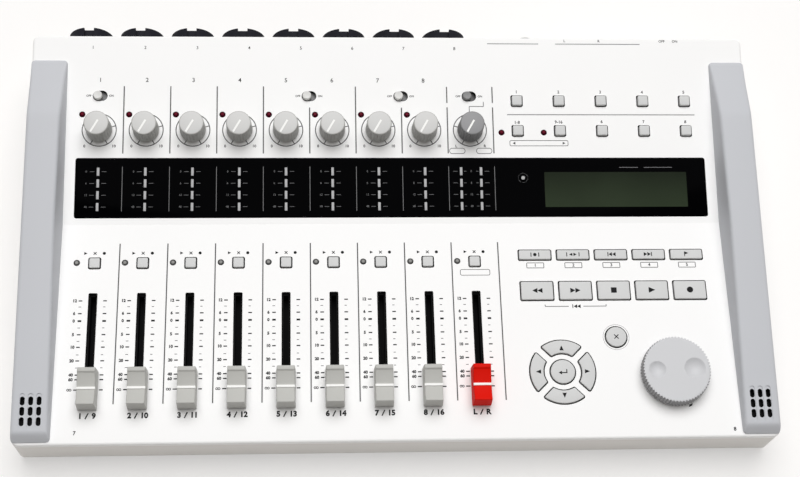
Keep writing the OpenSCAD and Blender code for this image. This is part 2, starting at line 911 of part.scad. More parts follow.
// Eight input sockets that take a three-pin plug or a 6.35 mm plug
module combo_jacks() {
    color(black)
    for (i = [0 : last_combo])
        on_rear(combo_x(i), combo_z)
            difference() {
                union() {
                    rod(combo_r, 0, combo_reach);
                    rod(combo_barrel_r, -wall_t, 0);
                    translate([-combo_body_w / 2, combo_z - combo_top_z, -wall_t - combo_in])
                        cube([combo_body_w, combo_top_z - jack_board_z, combo_in]);
                }
                rod(jack_r, combo_reach - combo_bore_l, combo_reach + eps);
                for (a = [90, 210, 330])
                    rotate([0, 0, a])
                        translate([pin_circle_r, 0, 0])
                            rod(pin_hole_r, combo_reach - combo_bore_l, combo_reach + eps);
                translate([-combo_latch_w / 2, -combo_r - eps, 1])
                    cube([combo_latch_w, combo_latch_d + eps, combo_reach]);
            }
}

// Headphone and output sockets for 6.35 mm plugs
module phone_jacks() {
    color(black)
    for (x = phone_x)
        on_rear(x, phone_z)
            difference() {
                union() {
                    rod(phone_ring_r, 0, phone_ring_l);
                    rod(phone_neck_r, -wall_t, 0);
                    translate([-phone_body_w / 2, -phone_body_w / 2, -wall_t - phone_in])
                        cube([phone_body_w, phone_body_w / 2 + phone_z - jack_board_z, phone_in]);
                }
                rod(jack_r, phone_ring_l - phone_bore_l, phone_ring_l + eps);
            }
}

module dc_inlet() {
    color(black)
    on_rear(dc_x, phone_z) {
        difference() {
            union() {
                block(dc_w, dc_h, -wall_t, 0);
                translate([-dc_w / 2, -dc_h / 2, -dc_in])
                    cube([dc_w, dc_h / 2 + phone_z - jack_board_z, dc_in - wall_t]);
            }
            rod(dc_bore_r, -dc_depth, eps);
        }
        rod(dc_pin_r, -dc_depth - eps, -dc_pin_sink);
    }
}

// Shell of one side socket with its contact tongue
module side_socket(size, mouth, tongue_t) {
    difference() {
        translate([case_w / 2 - usb_in, -size[0] / 2, usb_z])
            cube([usb_in, size[0], size[1]]);
        translate([case_w / 2 - usb_depth, -mouth[0] / 2, usb_z + (size[1] - mouth[1]) / 2])
            cube([usb_depth + eps, mouth[0], mouth[1]]);
    }
    tongue_z = usb_z + (size[1] - tongue_t) / 2;
    translate([case_w / 2 - usb_depth - eps, -mouth[0] / 2 + usb_tongue_gap, tongue_z])
        cube([usb_depth - usb_tongue_gap, mouth[0] - 2 * usb_tongue_gap, tongue_t]);
}

module usb_sockets() {
    color(steel) {
        translate([0, usb_y, 0])
            side_socket(usb_a, usb_mouth_a, usb_tongue_a);
        translate([0, usb_y + usb_dy, 0])
            side_socket(usb_b, usb_mouth_b, usb_tongue_b);
    }
}

module card_socket() {
    card_slot_z = usb_z + (card_h - card_slot_h) / 2;
    color(steel)
    difference() {
        translate([case_w / 2 - wall_t - card_in, card_y - card_w / 2, usb_z])
            cube([card_in, card_w, card_h]);
        translate([case_w / 2 - wall_t - card_in + 2, card_y - card_slot_w / 2, card_slot_z])
            cube([card_in, card_slot_w, card_slot_h]);
    }
}

module mic_capsules() {
    color(steel)
    for (s = [-1, 1])
        translate([s * rail_mid_x, mic_y, rail_under(mic_y)])
            rotate([rail_slope, 0, 0])
                rod(mic_r, -mic_h, 0);
}

module rubber_feet() {
    color(black)
    for (sx = [-1, 1])
        for (y = [foot_y0, foot_y1])
            translate([sx * foot_x, y, 0])
                rod(foot_r, 0, foot_h);
}

module case_screws() {
    color(steel)
    for (p = screw_places)
        translate([p[0], p[1], 0]) {
            rod(screw_head_r, foot_h, foot_h + screw_head_h);
            rod(screw_r, foot_h + screw_head_h, screw_top);
        }
}

// Fader cap with a raised lip at each end, a ridge in the middle, and the lever that runs in its track
module fader_cap(i) {
    half = cap_l / 2;
    rear = half + cap_back;
    end = rear - cap_draft;
    lip = end - cap_lip;
    nose = half - cap_nose;
    low = cap_h - cap_dish;
    shoulder = cap_h - cap_draft;
    ridge = [cap_ridge_y - cap_ridge, cap_ridge_y + cap_ridge];
    profile = [[-half, cap_lift], [rear, cap_lift], [end + cap_draft / 2, shoulder], [end, cap_h],
        [lip, cap_h], [ridge[1], low], [ridge[1], low + cap_ridge_h], [ridge[0], low + cap_ridge_h],
        [ridge[0], low], [cap_lip - nose, cap_h], [-nose, cap_h], [-nose - cap_nose / 2, shoulder]];
    on_deck(strip_x(i), -fader_rest) {
        x_prism(-cap_w / 2, cap_w, profile);
        block(lever_w, lever_l, lever_n, cap_lift + eps);
    }
}

module fader_1() { color(cap_grey) fader_cap(0); }
module fader_2() { color(cap_grey) fader_cap(1); }
module fader_3() { color(cap_grey) fader_cap(2); }
module fader_4() { color(cap_grey) fader_cap(3); }
module fader_5() { color(cap_grey) fader_cap(4); }
module fader_6() { color(cap_grey) fader_cap(5); }
module fader_7() { color(cap_grey) fader_cap(6); }
module fader_8() { color(cap_grey) fader_cap(7); }
module master_fader() { color(red) fader_cap(8); }

// Knob with a wider skirt and a pointer groove, on its shaft; the pointer is at its lowest setting
module knob(i) {
    body_r = knob_skirt_r - skirt_step;
    on_upper(strip_x(i), knob_u) {
        difference() {
            union() {
                rod(knob_skirt_r, knob_lift, skirt_h);
                translate([0, 0, skirt_h])
                    cylinder(r1 = body_r, r2 = knob_r, h = knob_h - skirt_h, $fn = round_fn);
            }
            rotate([0, 0, pointer_angle])
                translate([knob_r / 2, 0, 0])
                    block(knob_r + 4 * eps, pointer_w, knob_h - pointer_sink, knob_h + eps);
        }
        rod(shaft_r, shaft_n, knob_lift);
    }
}

module gain_knob_1() { color(knob_grey) knob(0); }
module gain_knob_2() { color(knob_grey) knob(1); }
module gain_knob_3() { color(knob_grey) knob(2); }
module gain_knob_4() { color(knob_grey) knob(3); }
module gain_knob_5() { color(knob_grey) knob(4); }
module gain_knob_6() { color(knob_grey) knob(5); }
module gain_knob_7() { color(knob_grey) knob(6); }
module gain_knob_8() { color(knob_grey) knob(7); }
module balance_knob() { color(dark_grey) knob(8); }

// Wheel with a lower skirt and two finger dimples in its face
module jog_wheel() {
    color(key_grey)
    on_deck(jog_x, jog_v) {
        difference() {
            union() {
                rod(jog_r, jog_lift, jog_h - jog_bevel);
                translate([0, 0, jog_h - jog_bevel])
                    cylinder(r1 = jog_r, r2 = jog_top_r, h = jog_bevel, $fn = round_fn);
            }
            for (s = [-1, 1])
                translate([s * dimple_x, 0, jog_h + dimple_r - dimple_sink])
                    sphere(dimple_r, $fn = round_fn);
        }
        rod(shaft_r, shaft_n, jog_lift);
    }
}

// Slide switch button at the left end of its slot, with a plate below the deck
module slide_button(k) {
    on_upper(slide_x(k) - slide_travel / 2, slide_u) {
        rod(nub_r, flange_n, nub_rise);
        block(slide_slot_w - slide_travel + slide_lap, slide_slot_d + slide_lap, flange_n, flange_top);
    }
}

module hi_z_switch() { color(key_grey) slide_button(0); }
module phantom_switch() { color(key_grey) slide_button(1); }
module mic_switch() { color(key_grey) slide_button(2); }
module metronome_switch() { color(dark_grey) slide_button(3); }

// Power slide button at its off end
module power_switch() {
    color(black)
    on_rear(power_x - power_travel / 2, phone_z) {
        block(power_nub_w, power_slot_h - 2 * clear, -wall_t + 1, power_reach);
    }
}

module phones_knob() {
    color(dark_grey)
    on_rear(phones_knob_x, phone_z) {
        difference() {
            rod(phones_knob_r, phones_knob_lift, phones_reach);
            translate([0, phones_knob_r / 2, 0])
                block(pointer_w, phones_knob_r + 2 * eps, phones_reach - pointer_sink, phones_reach + eps);
        }
        rod(shaft_r, -wall_t - phones_pot_l + phones_pot_back + phones_shaft_gap, phones_knob_lift);
    }
}

// Lid of the battery bay with a finger notch
module battery_door() {
    color(case_grey)
    translate([bay_x, bay_y, 0])
        difference() {
            block(door_w, door_d, foot_h, foot_h + door_t);
            translate([0, -door_d / 2 + notch_inset, 0])
                block(notch_w, notch_d, foot_h - eps, foot_h + door_t / 2);
        }
}

// Square-cornered key with its flange below the deck and the stem over its switch
module flat_key(w, d, board_n) {
    block(w, d, flange_n, key_rise);
    block(w + 2 * (flange_over + clear), d + 2 * (flange_over + clear), flange_n, flange_top);
    rod(stem_r, board_n + switch_h + stem_gap, flange_n);
}

module round_key(r) {
    rod(r, flange_n, key_rise);
    rod(r + flange_over + clear, flange_n, flange_top);
    rod(stem_r, fader_board_n + switch_h + stem_gap, flange_n);
}

module transport_key(i) {
    on_deck(wide_x(i), transport_v)
        flat_key(wide_key_w, transport_d, fader_board_n);
}

module rewind_key() { color(key_grey) transport_key(0); }
module forward_key() { color(key_grey) transport_key(1); }
module stop_key() { color(key_grey) transport_key(2); }
module play_key() { color(key_grey) transport_key(3); }
module record_key() { color(key_grey) transport_key(4); }

module enter_key() {
    color(key_grey)
    on_deck(enter_x, enter_v)
        round_key(enter_r);
}

module exit_key() {
    color(key_grey)
    on_deck(exit_x, exit_v)
        round_key(exit_r);
}

// Four arrow keys moulded on one ring below the deck
module cursor_keys() {
    color(key_grey)
    on_deck(enter_x, enter_v) {
        cursor_ring(cursor_r, cursor_in_r, cursor_gap, flange_n, key_rise);
        difference() {
            rod(cursor_r + flange_over + clear, flange_n, flange_top);
            rod(enter_r + flange_over + 3 * clear, flange_n - eps, flange_top + eps);
        }
        for (a = [0 : 90 : 270])
            rotate([0, 0, a])
                translate([(cursor_r + cursor_in_r) / 2, 0, 0])
                    rod(stem_r, fader_board_n + switch_h + stem_gap, flange_n);
    }
}

// Five soft keys moulded on one strip
module function_keys() {
    color(key_grey) {
        for (i = [0 : last_key])
            on_deck(wide_x(i), function_v)
                flat_key(wide_key_w, function_d, fader_board_n);
        on_deck(wide_x(2), function_v)
            block(last_key * wide_pitch, web_d, flange_n, flange_top);
    }
}

// Nine track keys moulded on one strip
module track_keys() {
    color(key_grey) {
        for (i = [0 : last_strip])
            on_deck(strip_x(i), track_key_v)
                flat_key(key_s, key_s, fader_board_n);
        on_deck(strip_x(4), track_key_v - key_s / 2)
            block(last_strip * strip_pitch, web_d, flange_n, flange_top);
    }
}

// Two rows of menu keys moulded on one strip
module menu_keys() {
    color(key_grey) {
        for (u = menu_u) {
            for (i = [0 : last_key])
                on_upper(menu_x(i), u)
                    flat_key(key_s, key_s, upper_board_n);
            on_upper(menu_x(2), u - menu_web_drop)
                block(last_key * menu_pitch, web_d, flange_n, flange_top);
        }
        on_upper(menu_x(1.5), (menu_u[0] + menu_u[1]) / 2 - menu_web_drop)
            block(web_d, menu_u[0] - menu_u[1], flange_n, flange_top);
    }
}

bottom_cover();
top_cover();
left_rail();
right_rail();
display_window();
lcd_module();
panel_leds();
fader_board();
upper_board();
main_board();
jack_board();
fader_tracks();
rotary_pots();
panel_switches();
jog_encoder();
combo_jacks();
phone_jacks();
dc_inlet();
usb_sockets();
card_socket();
mic_capsules();
rubber_feet();
case_screws();
fader_1();
fader_2();
fader_3();
fader_4();
fader_5();
fader_6();
fader_7();
fader_8();
master_fader();
gain_knob_1();
gain_knob_2();
gain_knob_3();
gain_knob_4();
gain_knob_5();
gain_knob_6();
gain_knob_7();
gain_knob_8();
balance_knob();
jog_wheel();
hi_z_switch();
phantom_switch();
mic_switch();
metronome_switch();
power_switch();
phones_knob();
battery_door();
rewind_key();
forward_key();
stop_key();
play_key();
record_key();
enter_key();
exit_key();
cursor_keys();
function_keys();
track_keys();
menu_keys();
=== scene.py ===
import math

import bmesh
import bpy
from mathutils import Matrix, Vector


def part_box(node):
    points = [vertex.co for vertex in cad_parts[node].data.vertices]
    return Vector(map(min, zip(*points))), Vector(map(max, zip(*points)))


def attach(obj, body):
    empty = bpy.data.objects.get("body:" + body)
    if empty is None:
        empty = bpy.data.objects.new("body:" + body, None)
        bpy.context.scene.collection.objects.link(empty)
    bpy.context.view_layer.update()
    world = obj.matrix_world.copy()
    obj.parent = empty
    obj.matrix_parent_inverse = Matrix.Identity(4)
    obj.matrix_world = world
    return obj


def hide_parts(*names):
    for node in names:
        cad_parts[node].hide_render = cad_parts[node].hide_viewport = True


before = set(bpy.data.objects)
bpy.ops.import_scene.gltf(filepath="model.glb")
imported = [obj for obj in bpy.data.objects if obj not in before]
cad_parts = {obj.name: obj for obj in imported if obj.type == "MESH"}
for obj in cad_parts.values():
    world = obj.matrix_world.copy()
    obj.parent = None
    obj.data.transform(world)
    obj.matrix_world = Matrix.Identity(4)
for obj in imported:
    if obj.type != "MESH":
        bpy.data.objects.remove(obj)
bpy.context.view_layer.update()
scene = bpy.context.scene

# Lower case: a light grey tub moulded in ABS, with the battery lid in its floor.
# Its walls carry the white deck, and the boards and sockets are screwed to its floor and rear wall.


class Wire:
    """A socket of a shader tree. Sums, products and comparisons of wires add Math nodes."""

    def __init__(self, tree, socket=None):
        self.tree = tree
        self.socket = socket

    def add(self, kind, settings=None, sockets=None, out=0):
        """Adds a node: its settings are set first, then the values or wires of its sockets."""
        node = self.tree.nodes.new(kind)
        for name, value in (settings or {}).items():
            setattr(node, name, value)
        for name, value in (sockets or {}).items():
            if isinstance(value, Wire):
                self.tree.links.new(value.socket, node.inputs[name])
            else:
                node.inputs[name].default_value = value
        return Wire(self.tree, node.outputs[out]) if node.outputs else node

    def math(self, operation, first, second):
        return self.add("ShaderNodeMath", {"operation": operation}, {0: first, 1: second})

    def blend(self, factor, first, second):
        """A colour between two others."""
        return self.add("ShaderNodeMix", {"data_type": "RGBA"}, {0: factor, 6: first, 7: second}, 2)

    def __add__(self, other):
        return self.math("ADD", self, other)

    __radd__ = __add__

    def __sub__(self, other):
        return self.math("SUBTRACT", self, other)

    def __rsub__(self, other):
        return self.math("SUBTRACT", other, self)

    def __mul__(self, other):
        return self.math("MULTIPLY", self, other)

    __rmul__ = __mul__

    def __gt__(self, other):
        return self.math("GREATER_THAN", self, other)

    def __lt__(self, other):
        return self.math("LESS_THAN", self, other)


def tone(red, green, blue, share=1.0):
    """A colour given in display values from 0 to 255, as the linear colour that a shader takes."""
    values = [channel * share / 255 for channel in (red, green, blue)]
    linear = [v / 12.92 if v <= 0.04045 else ((v + 0.055) / 1.055) ** 2.4 for v in values]
    return (*linear, 1.0)


def finish(name, paint, **fixed):
    """A material: paint returns the wires of the shader's varying sockets, fixed holds its constants."""
    material = bpy.data.materials.new(name)
    material.use_nodes = True
    tree = material.node_tree
    shader = tree.nodes["Principled BSDF"]
    for socket, value in fixed.items():
        shader.inputs[socket.replace("_", " ")].default_value = value
    for socket, wire in paint(Wire(tree)).items():
        tree.links.new(wire.socket, shader.inputs[socket])
    return material


def moulded(name, colour, rough, drift=0.03, grain=0.12, grain_scale=1900.0, **fixed):
    """Plastic from a spark-eroded mould: a drifting tint, fine specks, uneven gloss and a fine grain."""

    def paint(wire):
        place = wire.add("ShaderNodeTexCoord", out="Object")
        slow = wire.add("ShaderNodeTexNoise", None, {"Vector": place, "Scale": 22.0, "Detail": 4.0})
        fine = wire.add("ShaderNodeTexNoise", None,
                        {"Vector": place, "Scale": grain_scale, "Detail": 2.0})
        tint = wire.blend(slow * 0.75 + fine * 0.25, tone(*colour, 1 - drift), tone(*colour, 1 + drift))
        bump = wire.add("ShaderNodeBump", None,
                        {"Strength": grain, "Distance": 0.00004, "Height": fine})
        uneven = slow * 0.16 + fine * 0.08 + (rough - 0.12)
        return {"Base Color": tint, "Roughness": uneven, "Normal": bump}

    return finish(name, paint, **fixed)


def dress(node, material):
    """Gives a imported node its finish."""
    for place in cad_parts[node].material_slots:
        place.material = material


case_grey = moulded("case_grey_plastic", (230, 228, 225), 0.5, grain=0.2)
lid_grey = moulded("lid_grey_plastic", (222, 220, 215), 0.52, grain=0.2)
dress("bottom_cover", case_grey)
dress("battery_door", lid_grey)

# Feet and screws: four moulded rubber feet stand in dimples of the floor,
# and zinc-plated cross-head screws hold floor, deck and rails together.
FOOT_EDGE, FOOT_EDGE_ANGLE, SEAM_GAP = 0.0006, 40.0, 0.00001


def plated(name, colour, rough):
    """Plated steel: a bright metal with faint rolling marks along it."""

    def paint(wire):
        place = wire.add("ShaderNodeTexCoord", out="Object")
        drawn = wire.add("ShaderNodeMapping", None, {"Vector": place, "Scale": (90.0, 1400.0, 300.0)})
        marks = wire.add("ShaderNodeTexNoise", None, {"Vector": drawn, "Scale": 1.0, "Detail": 3.0})
        bump = wire.add("ShaderNodeBump", None, {"Strength": 0.1, "Distance": 0.00003, "Height": marks})
        tint = wire.blend(marks, tone(*colour, 0.86), tone(*colour))
        return {"Base Color": tint, "Roughness": marks * 0.2 + (rough - 0.1), "Normal": bump}

    return finish(name, paint, Metallic=1.0)


def soften(node, width, angle):
    """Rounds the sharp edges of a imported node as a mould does."""
    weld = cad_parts[node].modifiers.new("seams", "WELD")
    weld.merge_threshold = SEAM_GAP
    round_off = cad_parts[node].modifiers.new("rounded_edges", "BEVEL")
    round_off.width = width
    round_off.segments = 2
    round_off.limit_method = "ANGLE"
    round_off.angle_limit = math.radians(angle)
    round_off.use_clamp_overlap = True


foot_rubber = moulded("foot_rubber", (38, 38, 40), 0.8, drift=0.12, grain=0.5, grain_scale=900.0)
plated_steel = plated("plated_steel", (196, 196, 192), 0.32)
dress("rubber_feet", foot_rubber)
soften("rubber_feet", FOOT_EDGE, FOOT_EDGE_ANGLE)
dress("case_screws", plated_steel)

# Circuit boards: four green glass-fibre boards with tinned pads and tracks under the solder resist.
# The fader board and the upper board hang under the deck, the main board lies on the floor
# and the jack board lies under the rear sockets.


def board_face(wire):
    """Solder resist over copper lanes, with bright pads."""
    place = wire.add("ShaderNodeTexCoord", out="Object")
    greens = {"Color1": tone(20, 84, 52), "Color2": tone(24, 92, 58), "Mortar": tone(46, 122, 78)}
    lanes = wire.add("ShaderNodeTexBrick", {"offset": 0.37, "squash": 1.6, "squash_frequency": 3},
                     {"Vector": place, "Scale": 120.0, "Mortar Size": 0.06, "Mortar Smooth": 0.2, **greens})
    spots = wire.add("ShaderNodeTexVoronoi", None, {"Vector": place, "Scale": 260.0}, "Distance")
    pad = spots < 0.16
    tint = wire.blend(pad, lanes, tone(188, 186, 170))
    bump = wire.add("ShaderNodeBump", None, {"Strength": 0.3, "Distance": 0.00005, "Height": pad})
    return {"Base Color": tint, "Roughness": 0.42 - pad * 0.14, "Metallic": pad * 0.8, "Normal": bump}


circuit_board = finish("circuit_board", board_face)
for board in ("fader_board", "upper_board", "main_board", "jack_board"):
    dress(board, circuit_board)

# Parts on the boards: slide and rotary potentiometers, push switches, the jog encoder, the display module
# and the microphone capsules. Their bodies are dark plastic or bent steel, most of them soldered
# to the boards, and only the slots of faders, switches and rails let them be seen.
dark_plastic = moulded("dark_plastic", (30, 30, 32), 0.6, drift=0.1, grain=0.3)
black_plastic = moulded("black_plastic", (17, 17, 18), 0.42, drift=0.12, grain=0.25)
# A black for the fader tracks and microphone capsules, also used as painted shade on the walls and floors
# of the rails' sound slots.
black_and_slot_shade = moulded("black_and_slot_shade", (7, 7, 8), 0.7, drift=0.1, Specular_IOR_Level=0.1)
dress("fader_tracks", black_and_slot_shade)
dress("rotary_pots", plated_steel)
dress("panel_switches", dark_plastic)
dress("jog_encoder", dark_plastic)
dress("lcd_module", plated_steel)
dress("mic_capsules", black_and_slot_shade)

# White deck: one ABS moulding bent along a line across it, level in front under the faders and tilted
# behind, with openings for every fader, key, lamp and switch. It is screwed down from below.
MM = 0.001
DECK_Z, TILT = 28.0, math.radians(9.0)
FRONT_S, REAR_S, HALF_W, CORNER_R = -114.5, 101.8, 187.5, 3.5
BEND_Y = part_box("top_cover")[0][1] / MM - FRONT_S
PLATE, DECK_EDGE, HOLE_EDGE, CREASE = 2.5, 1.2, 0.25, 31.0
STRIP_PITCH = 24.0
STRIPS = [-152.0 + STRIP_PITCH * i for i in range(9)]
MASTER_X = STRIPS[8]
SLOT_MID, SLOT_L, SLOT_W, SLOT_R = -65.5, 57.0, 4.3, 0.6
TRACK_S, KEY, CLEAR, KEY_HOLE_R = -21.0, 5.2, 0.55, 0.9
WIDE_X = [71.1 + 19.67 * i for i in range(5)]
FUNCTION_S, FUNCTION_D, PLAY_S, PLAY_D, WIDE_W = -17.7, 5.0, -37.3, 9.6, 16.3
ENTER, ENTER_R = (81.4, -80.2), 6.1
EXIT, EXIT_R = (109.7, -62.2), 5.2
CURSOR_IN, CURSOR_OUT, CURSOR_GAP, CURSOR_R = 9.7, 16.3, 4.2, 0.5
CURSOR_TURNS = [math.pi / 2 * k for k in range(4)]
JOG = (137.3, -81.6)
KNOB_S, SHAFT_HOLE_R = 50.3, 3.4
SWITCH_X = [STRIPS[0], (STRIPS[4] + STRIPS[5]) / 2, (STRIPS[6] + STRIPS[7]) / 2, MASTER_X]
SWITCH_S, SWITCH_W, SWITCH_D = 68.8, 7.5, 5.4
MENU_X = [65.2 + 22.35 * i for i in range(5)]
MENU_S = [66.3, 49.9]
WINDOW_W, WINDOW_S0, WINDOW_S1, WINDOW_CLEAR = 326.5, 3.7, 34.9, 0.6
WINDOW_MID, WINDOW_D = (WINDOW_S0 + WINDOW_S1) / 2, WINDOW_S1 - WINDOW_S0
LAMP_HOLE_R, LAMP_STEPS = 1.55, 24
PEAK = [(x - 8.9, 58.7) for x in STRIPS[:8]]
STATUS = [(x - 8.9, -20.7) for x in STRIPS]
BANK = [(x - 8.6, 49.0) for x in MENU_X[:2]]


def on_deck(x, s, n=0.0):
    """A place on the deck: x across, s along the sheet from its bend, n above it; mm in, metres out."""
    if s <= 0:
        return Vector((x, BEND_Y + s, DECK_Z + n)) * MM
    return Vector((x, BEND_Y + s * math.cos(TILT) - n * math.sin(TILT),
                   DECK_Z + s * math.sin(TILT) + n * math.cos(TILT))) * MM


def oblong(x, s, w, d, r, steps=5):
    """A rounded rectangle that can grow: returns a function from growth to its outline."""

    def outline(grow=0.0):
        radius = max(r + grow, 0.02)
        points = []
        for corner, (side, end) in enumerate(((1, 1), (-1, 1), (-1, -1), (1, -1))):
            cx = x + side * (w / 2 + grow - radius)
            cs = s + end * (d / 2 + grow - radius)
            for k in range(steps + 1):
                angle = math.radians(90 * (corner + k / steps))
                points.append((cx + radius * math.cos(angle), cs + radius * math.sin(angle)))
        return points

    return outline


def key_hole(x, s, w, d):
    """The hole round a key, with room for the key to move."""
    return oblong(x, s, w + 2 * CLEAR, d + 2 * CLEAR, KEY_HOLE_R)


def disc(x, s, r, count=48):
    """A circle that can grow."""

    def outline(grow=0.0):
        turns = [math.tau * k / count for k in range(count)]
        return [(x + (r + grow) * math.cos(a), s + (r + grow) * math.sin(a)) for a in turns]

    return outline


def quarter(x, s, inner, outer, gap, corner, facing, steps=14):
    """One of four ring quarters that straight diagonal gaps part, with rounded corners; it can grow."""
    wide = math.pi / 4 - math.asin((gap / 2 + corner) / (outer - corner))
    narrow = math.pi / 4 - math.asin((gap / 2 + corner) / (inner + corner))
    edge = math.radians(135)

    def outline(grow=0.0):
        points = []

        def sweep(radius, turn, offset, first, last, count=5):
            cx, cs = x + radius * math.cos(facing + turn), s + radius * math.sin(facing + turn)
            for k in range(count):
                angle = facing + first + (last - first) * k / count
                points.append((cx + offset * math.cos(angle), cs + offset * math.sin(angle)))

        sweep(0, 0, outer + grow, -wide, wide, steps)
        sweep(outer - corner, wide, corner + grow, wide, edge)
        sweep(inner + corner, narrow, corner + grow, edge, math.pi + narrow)
        sweep(0, 0, inner - grow, narrow, -narrow, steps)
        sweep(inner + corner, -narrow, corner + grow, math.pi - narrow, math.tau - edge)
        sweep(outer - corner, -wide, corner + grow, -edge, -wide)
        return points

    return outline


def rim(shape, rows):
    """Joins outlines of like length into a band and returns its corners, row by row."""
    corners = [[shape.verts.new(point) for point in row] for row in rows]
    for lower, upper in zip(corners, corners[1:]):
        for k in range(len(lower)):
            shape.faces.new((lower[k], lower[k - 1], upper[k - 1], upper[k]))
    return corners


def filled(shape, rows):
    """Joins outlines of like length into a solid that is closed at both ends."""
    corners = rim(shape, rows)
    shape.faces.new(corners[0])
    shape.faces.new(corners[-1])


def slab(shape, outline, top, bottom, edge, holes=()):
    """A plate in deck coordinates with rounded upper edges, and holes through it."""

    def rows(border, size, way):
        steps = ((1.0, 0.0), (0.62, 0.08), (0.29, 0.29), (0.08, 0.62), (0.0, 1.0))
        levels = [[(*p, top - size * drop) for p in border(way * size * part)] for part, drop in steps]
        return levels + [[(*p, bottom) for p in border(0.0)]]

    if not holes:
        filled(shape, rows(outline, edge, -1))
        return
    walls = [rim(shape, rows(outline, edge, -1))]
    walls += [rim(shape, rows(hole, HOLE_EDGE, 1)) for hole in holes]
    for level in (0, -1):
        edges = []
        for wall in walls:
            loop = wall[level]
            edges += [shape.edges.get((loop[k], loop[k - 1])) for k in range(len(loop))]
        bmesh.ops.triangle_fill(shape, use_beauty=True, use_dissolve=False, edges=edges)


def put(name, shape, material, body="case", stands_for=(), bend=on_deck,
        crease=CREASE):
    """Makes a piece of a shape in mm, lays it on the deck and lets it ride on a body."""
    for corner in shape.verts:
        corner.co = bend(*corner.co)
    bmesh.ops.recalc_face_normals(shape, faces=shape.faces)
    mesh = bpy.data.meshes.new(name)
    shape.to_mesh(mesh)
    shape.free()
    mesh.polygons.foreach_set("use_smooth", [True] * len(mesh.polygons))
    mesh.set_sharp_from_angle(angle=math.radians(crease))
    mesh.materials.append(material)
    piece = bpy.data.objects.new(name, mesh)
    scene.collection.objects.link(piece)
    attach(piece, body)
    if stands_for:
        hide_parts(*stands_for)
    return piece


deck_white = moulded("deck_white_plastic", (248, 248, 248), 0.5, drift=0.008, grain=0.1)
# This dark grey is painted shade for the hole walls of the white deck, standing in for the shade in the
# narrow gaps.
painted_gap_shade = moulded("painted_gap_shade", (34, 34, 34), 0.7, drift=0.1, Specular_IOR_Level=0.1)
cuts = [oblong(x, SLOT_MID, SLOT_W, SLOT_L, SLOT_R) for x in STRIPS]
cuts += [key_hole(x, TRACK_S, KEY, KEY) for x in STRIPS]
cuts += [key_hole(x, FUNCTION_S, WIDE_W, FUNCTION_D) for x in WIDE_X]
cuts += [key_hole(x, PLAY_S, WIDE_W, PLAY_D) for x in WIDE_X]
cuts += [key_hole(x, s, KEY, KEY) for s in MENU_S for x in MENU_X]
cuts += [disc(*ENTER, ENTER_R + CLEAR), disc(*EXIT, EXIT_R + CLEAR), disc(*JOG, SHAFT_HOLE_R)]
cuts += [quarter(*ENTER, CURSOR_IN - CLEAR, CURSOR_OUT + CLEAR, CURSOR_GAP - 2 * CLEAR,
                 CURSOR_R + CLEAR, turn) for turn in CURSOR_TURNS]
cuts += [disc(x, KNOB_S, SHAFT_HOLE_R) for x in STRIPS]
cuts += [oblong(x, SWITCH_S, SWITCH_W, SWITCH_D, SWITCH_D / 2 - 0.02, 8) for x in SWITCH_X]
cuts += [disc(*spot, LAMP_HOLE_R, LAMP_STEPS) for spot in PEAK + STATUS + BANK]
cuts.append(oblong(0, WINDOW_MID, WINDOW_W + WINDOW_CLEAR, WINDOW_D + WINDOW_CLEAR, 1.2))
sheet = bmesh.new()
deck_outline = oblong(0, (FRONT_S + REAR_S) / 2, 2 * HALF_W, REAR_S - FRONT_S, CORNER_R, 10)
slab(sheet, deck_outline, 0.0, -PLATE, DECK_EDGE, cuts)
bmesh.ops.bisect_plane(sheet, geom=sheet.verts[:] + sheet.edges[:] + sheet.faces[:],
                       plane_co=(0, 0, 0), plane_no=(0, 1, 0), dist=1e-5)
deck = put("white_deck", sheet, deck_white, stands_for=("top_cover",))
deck.data.materials.append(painted_gap_shade)
FACINGS = [Vector((0, 0, 1)), Vector((0, -math.sin(TILT), math.cos(TILT)))]
HOLES_X, HOLES_Y, WALL = (HALF_W - 3) * MM, 98 * MM, 0.6
# Painted shade: the walls of the holes inside the deck take the dark grey, for the shade in the gaps round
# keys and slots.
for face in deck.data.polygons:
    face.use_smooth = max(face.normal.dot(up) for up in FACINGS) < 0.9999
    inside = abs(face.center.x) < HOLES_X and abs(face.center.y) < HOLES_Y
    if inside and abs(face.normal.z) < WALL:
        face.material_index = 1

# Print on the deck: grey lines, rings, ticks, numbers and signs, silk-screened in one pass
# on the white plastic. The channels are parted by lines and the fader scales are in plain numbers.
INK_UP = 0.035


def patch(ink, points, low=0.0):
    """A flat shape of ink, as a thin closed prism."""
    base = [ink.verts.new((*p, low)) for p in points]
    face = [ink.verts.new((*p, low + INK_UP)) for p in points]
    ink.faces.new(base)
    ink.faces.new(face)
    for k in range(len(points)):
        ink.faces.new((base[k], base[k - 1], face[k - 1], face[k]))


def line(ink, start, end, width, low=0.0):
    """A straight printed line."""
    along = (Vector(end) - Vector(start)).normalized()
    side = Vector((-along.y, along.x)) * width / 2
    corners = [Vector(start) + side, Vector(start) - side, Vector(end) - side, Vector(end) + side]
    patch(ink, [tuple(c) for c in corners], low)


def path(ink, points, width):
    """Printed lines from point to point."""
    for start, end in zip(points, points[1:]):
        line(ink, start, end, width)


def ticks(ink, x, s, spans, width):
    """Printed ticks on both sides of a middle line, each from one distance to another."""
    for start, end in spans:
        line(ink, (x + start, s), (x + end, s), width)


def cross(ink, x, s, half, width, low=0.0):
    """A printed cross of two slanting strokes."""
    for rise in (-half, half):
        line(ink, (x - half, s + rise), (x + half, s - rise), width, low)


def band(ink, rows):
    """A band of ink whose last row is joined to its first."""
    rim(ink, rows + [rows[0]])
    bmesh.ops.remove_doubles(ink, verts=ink.verts, dist=1e-6)


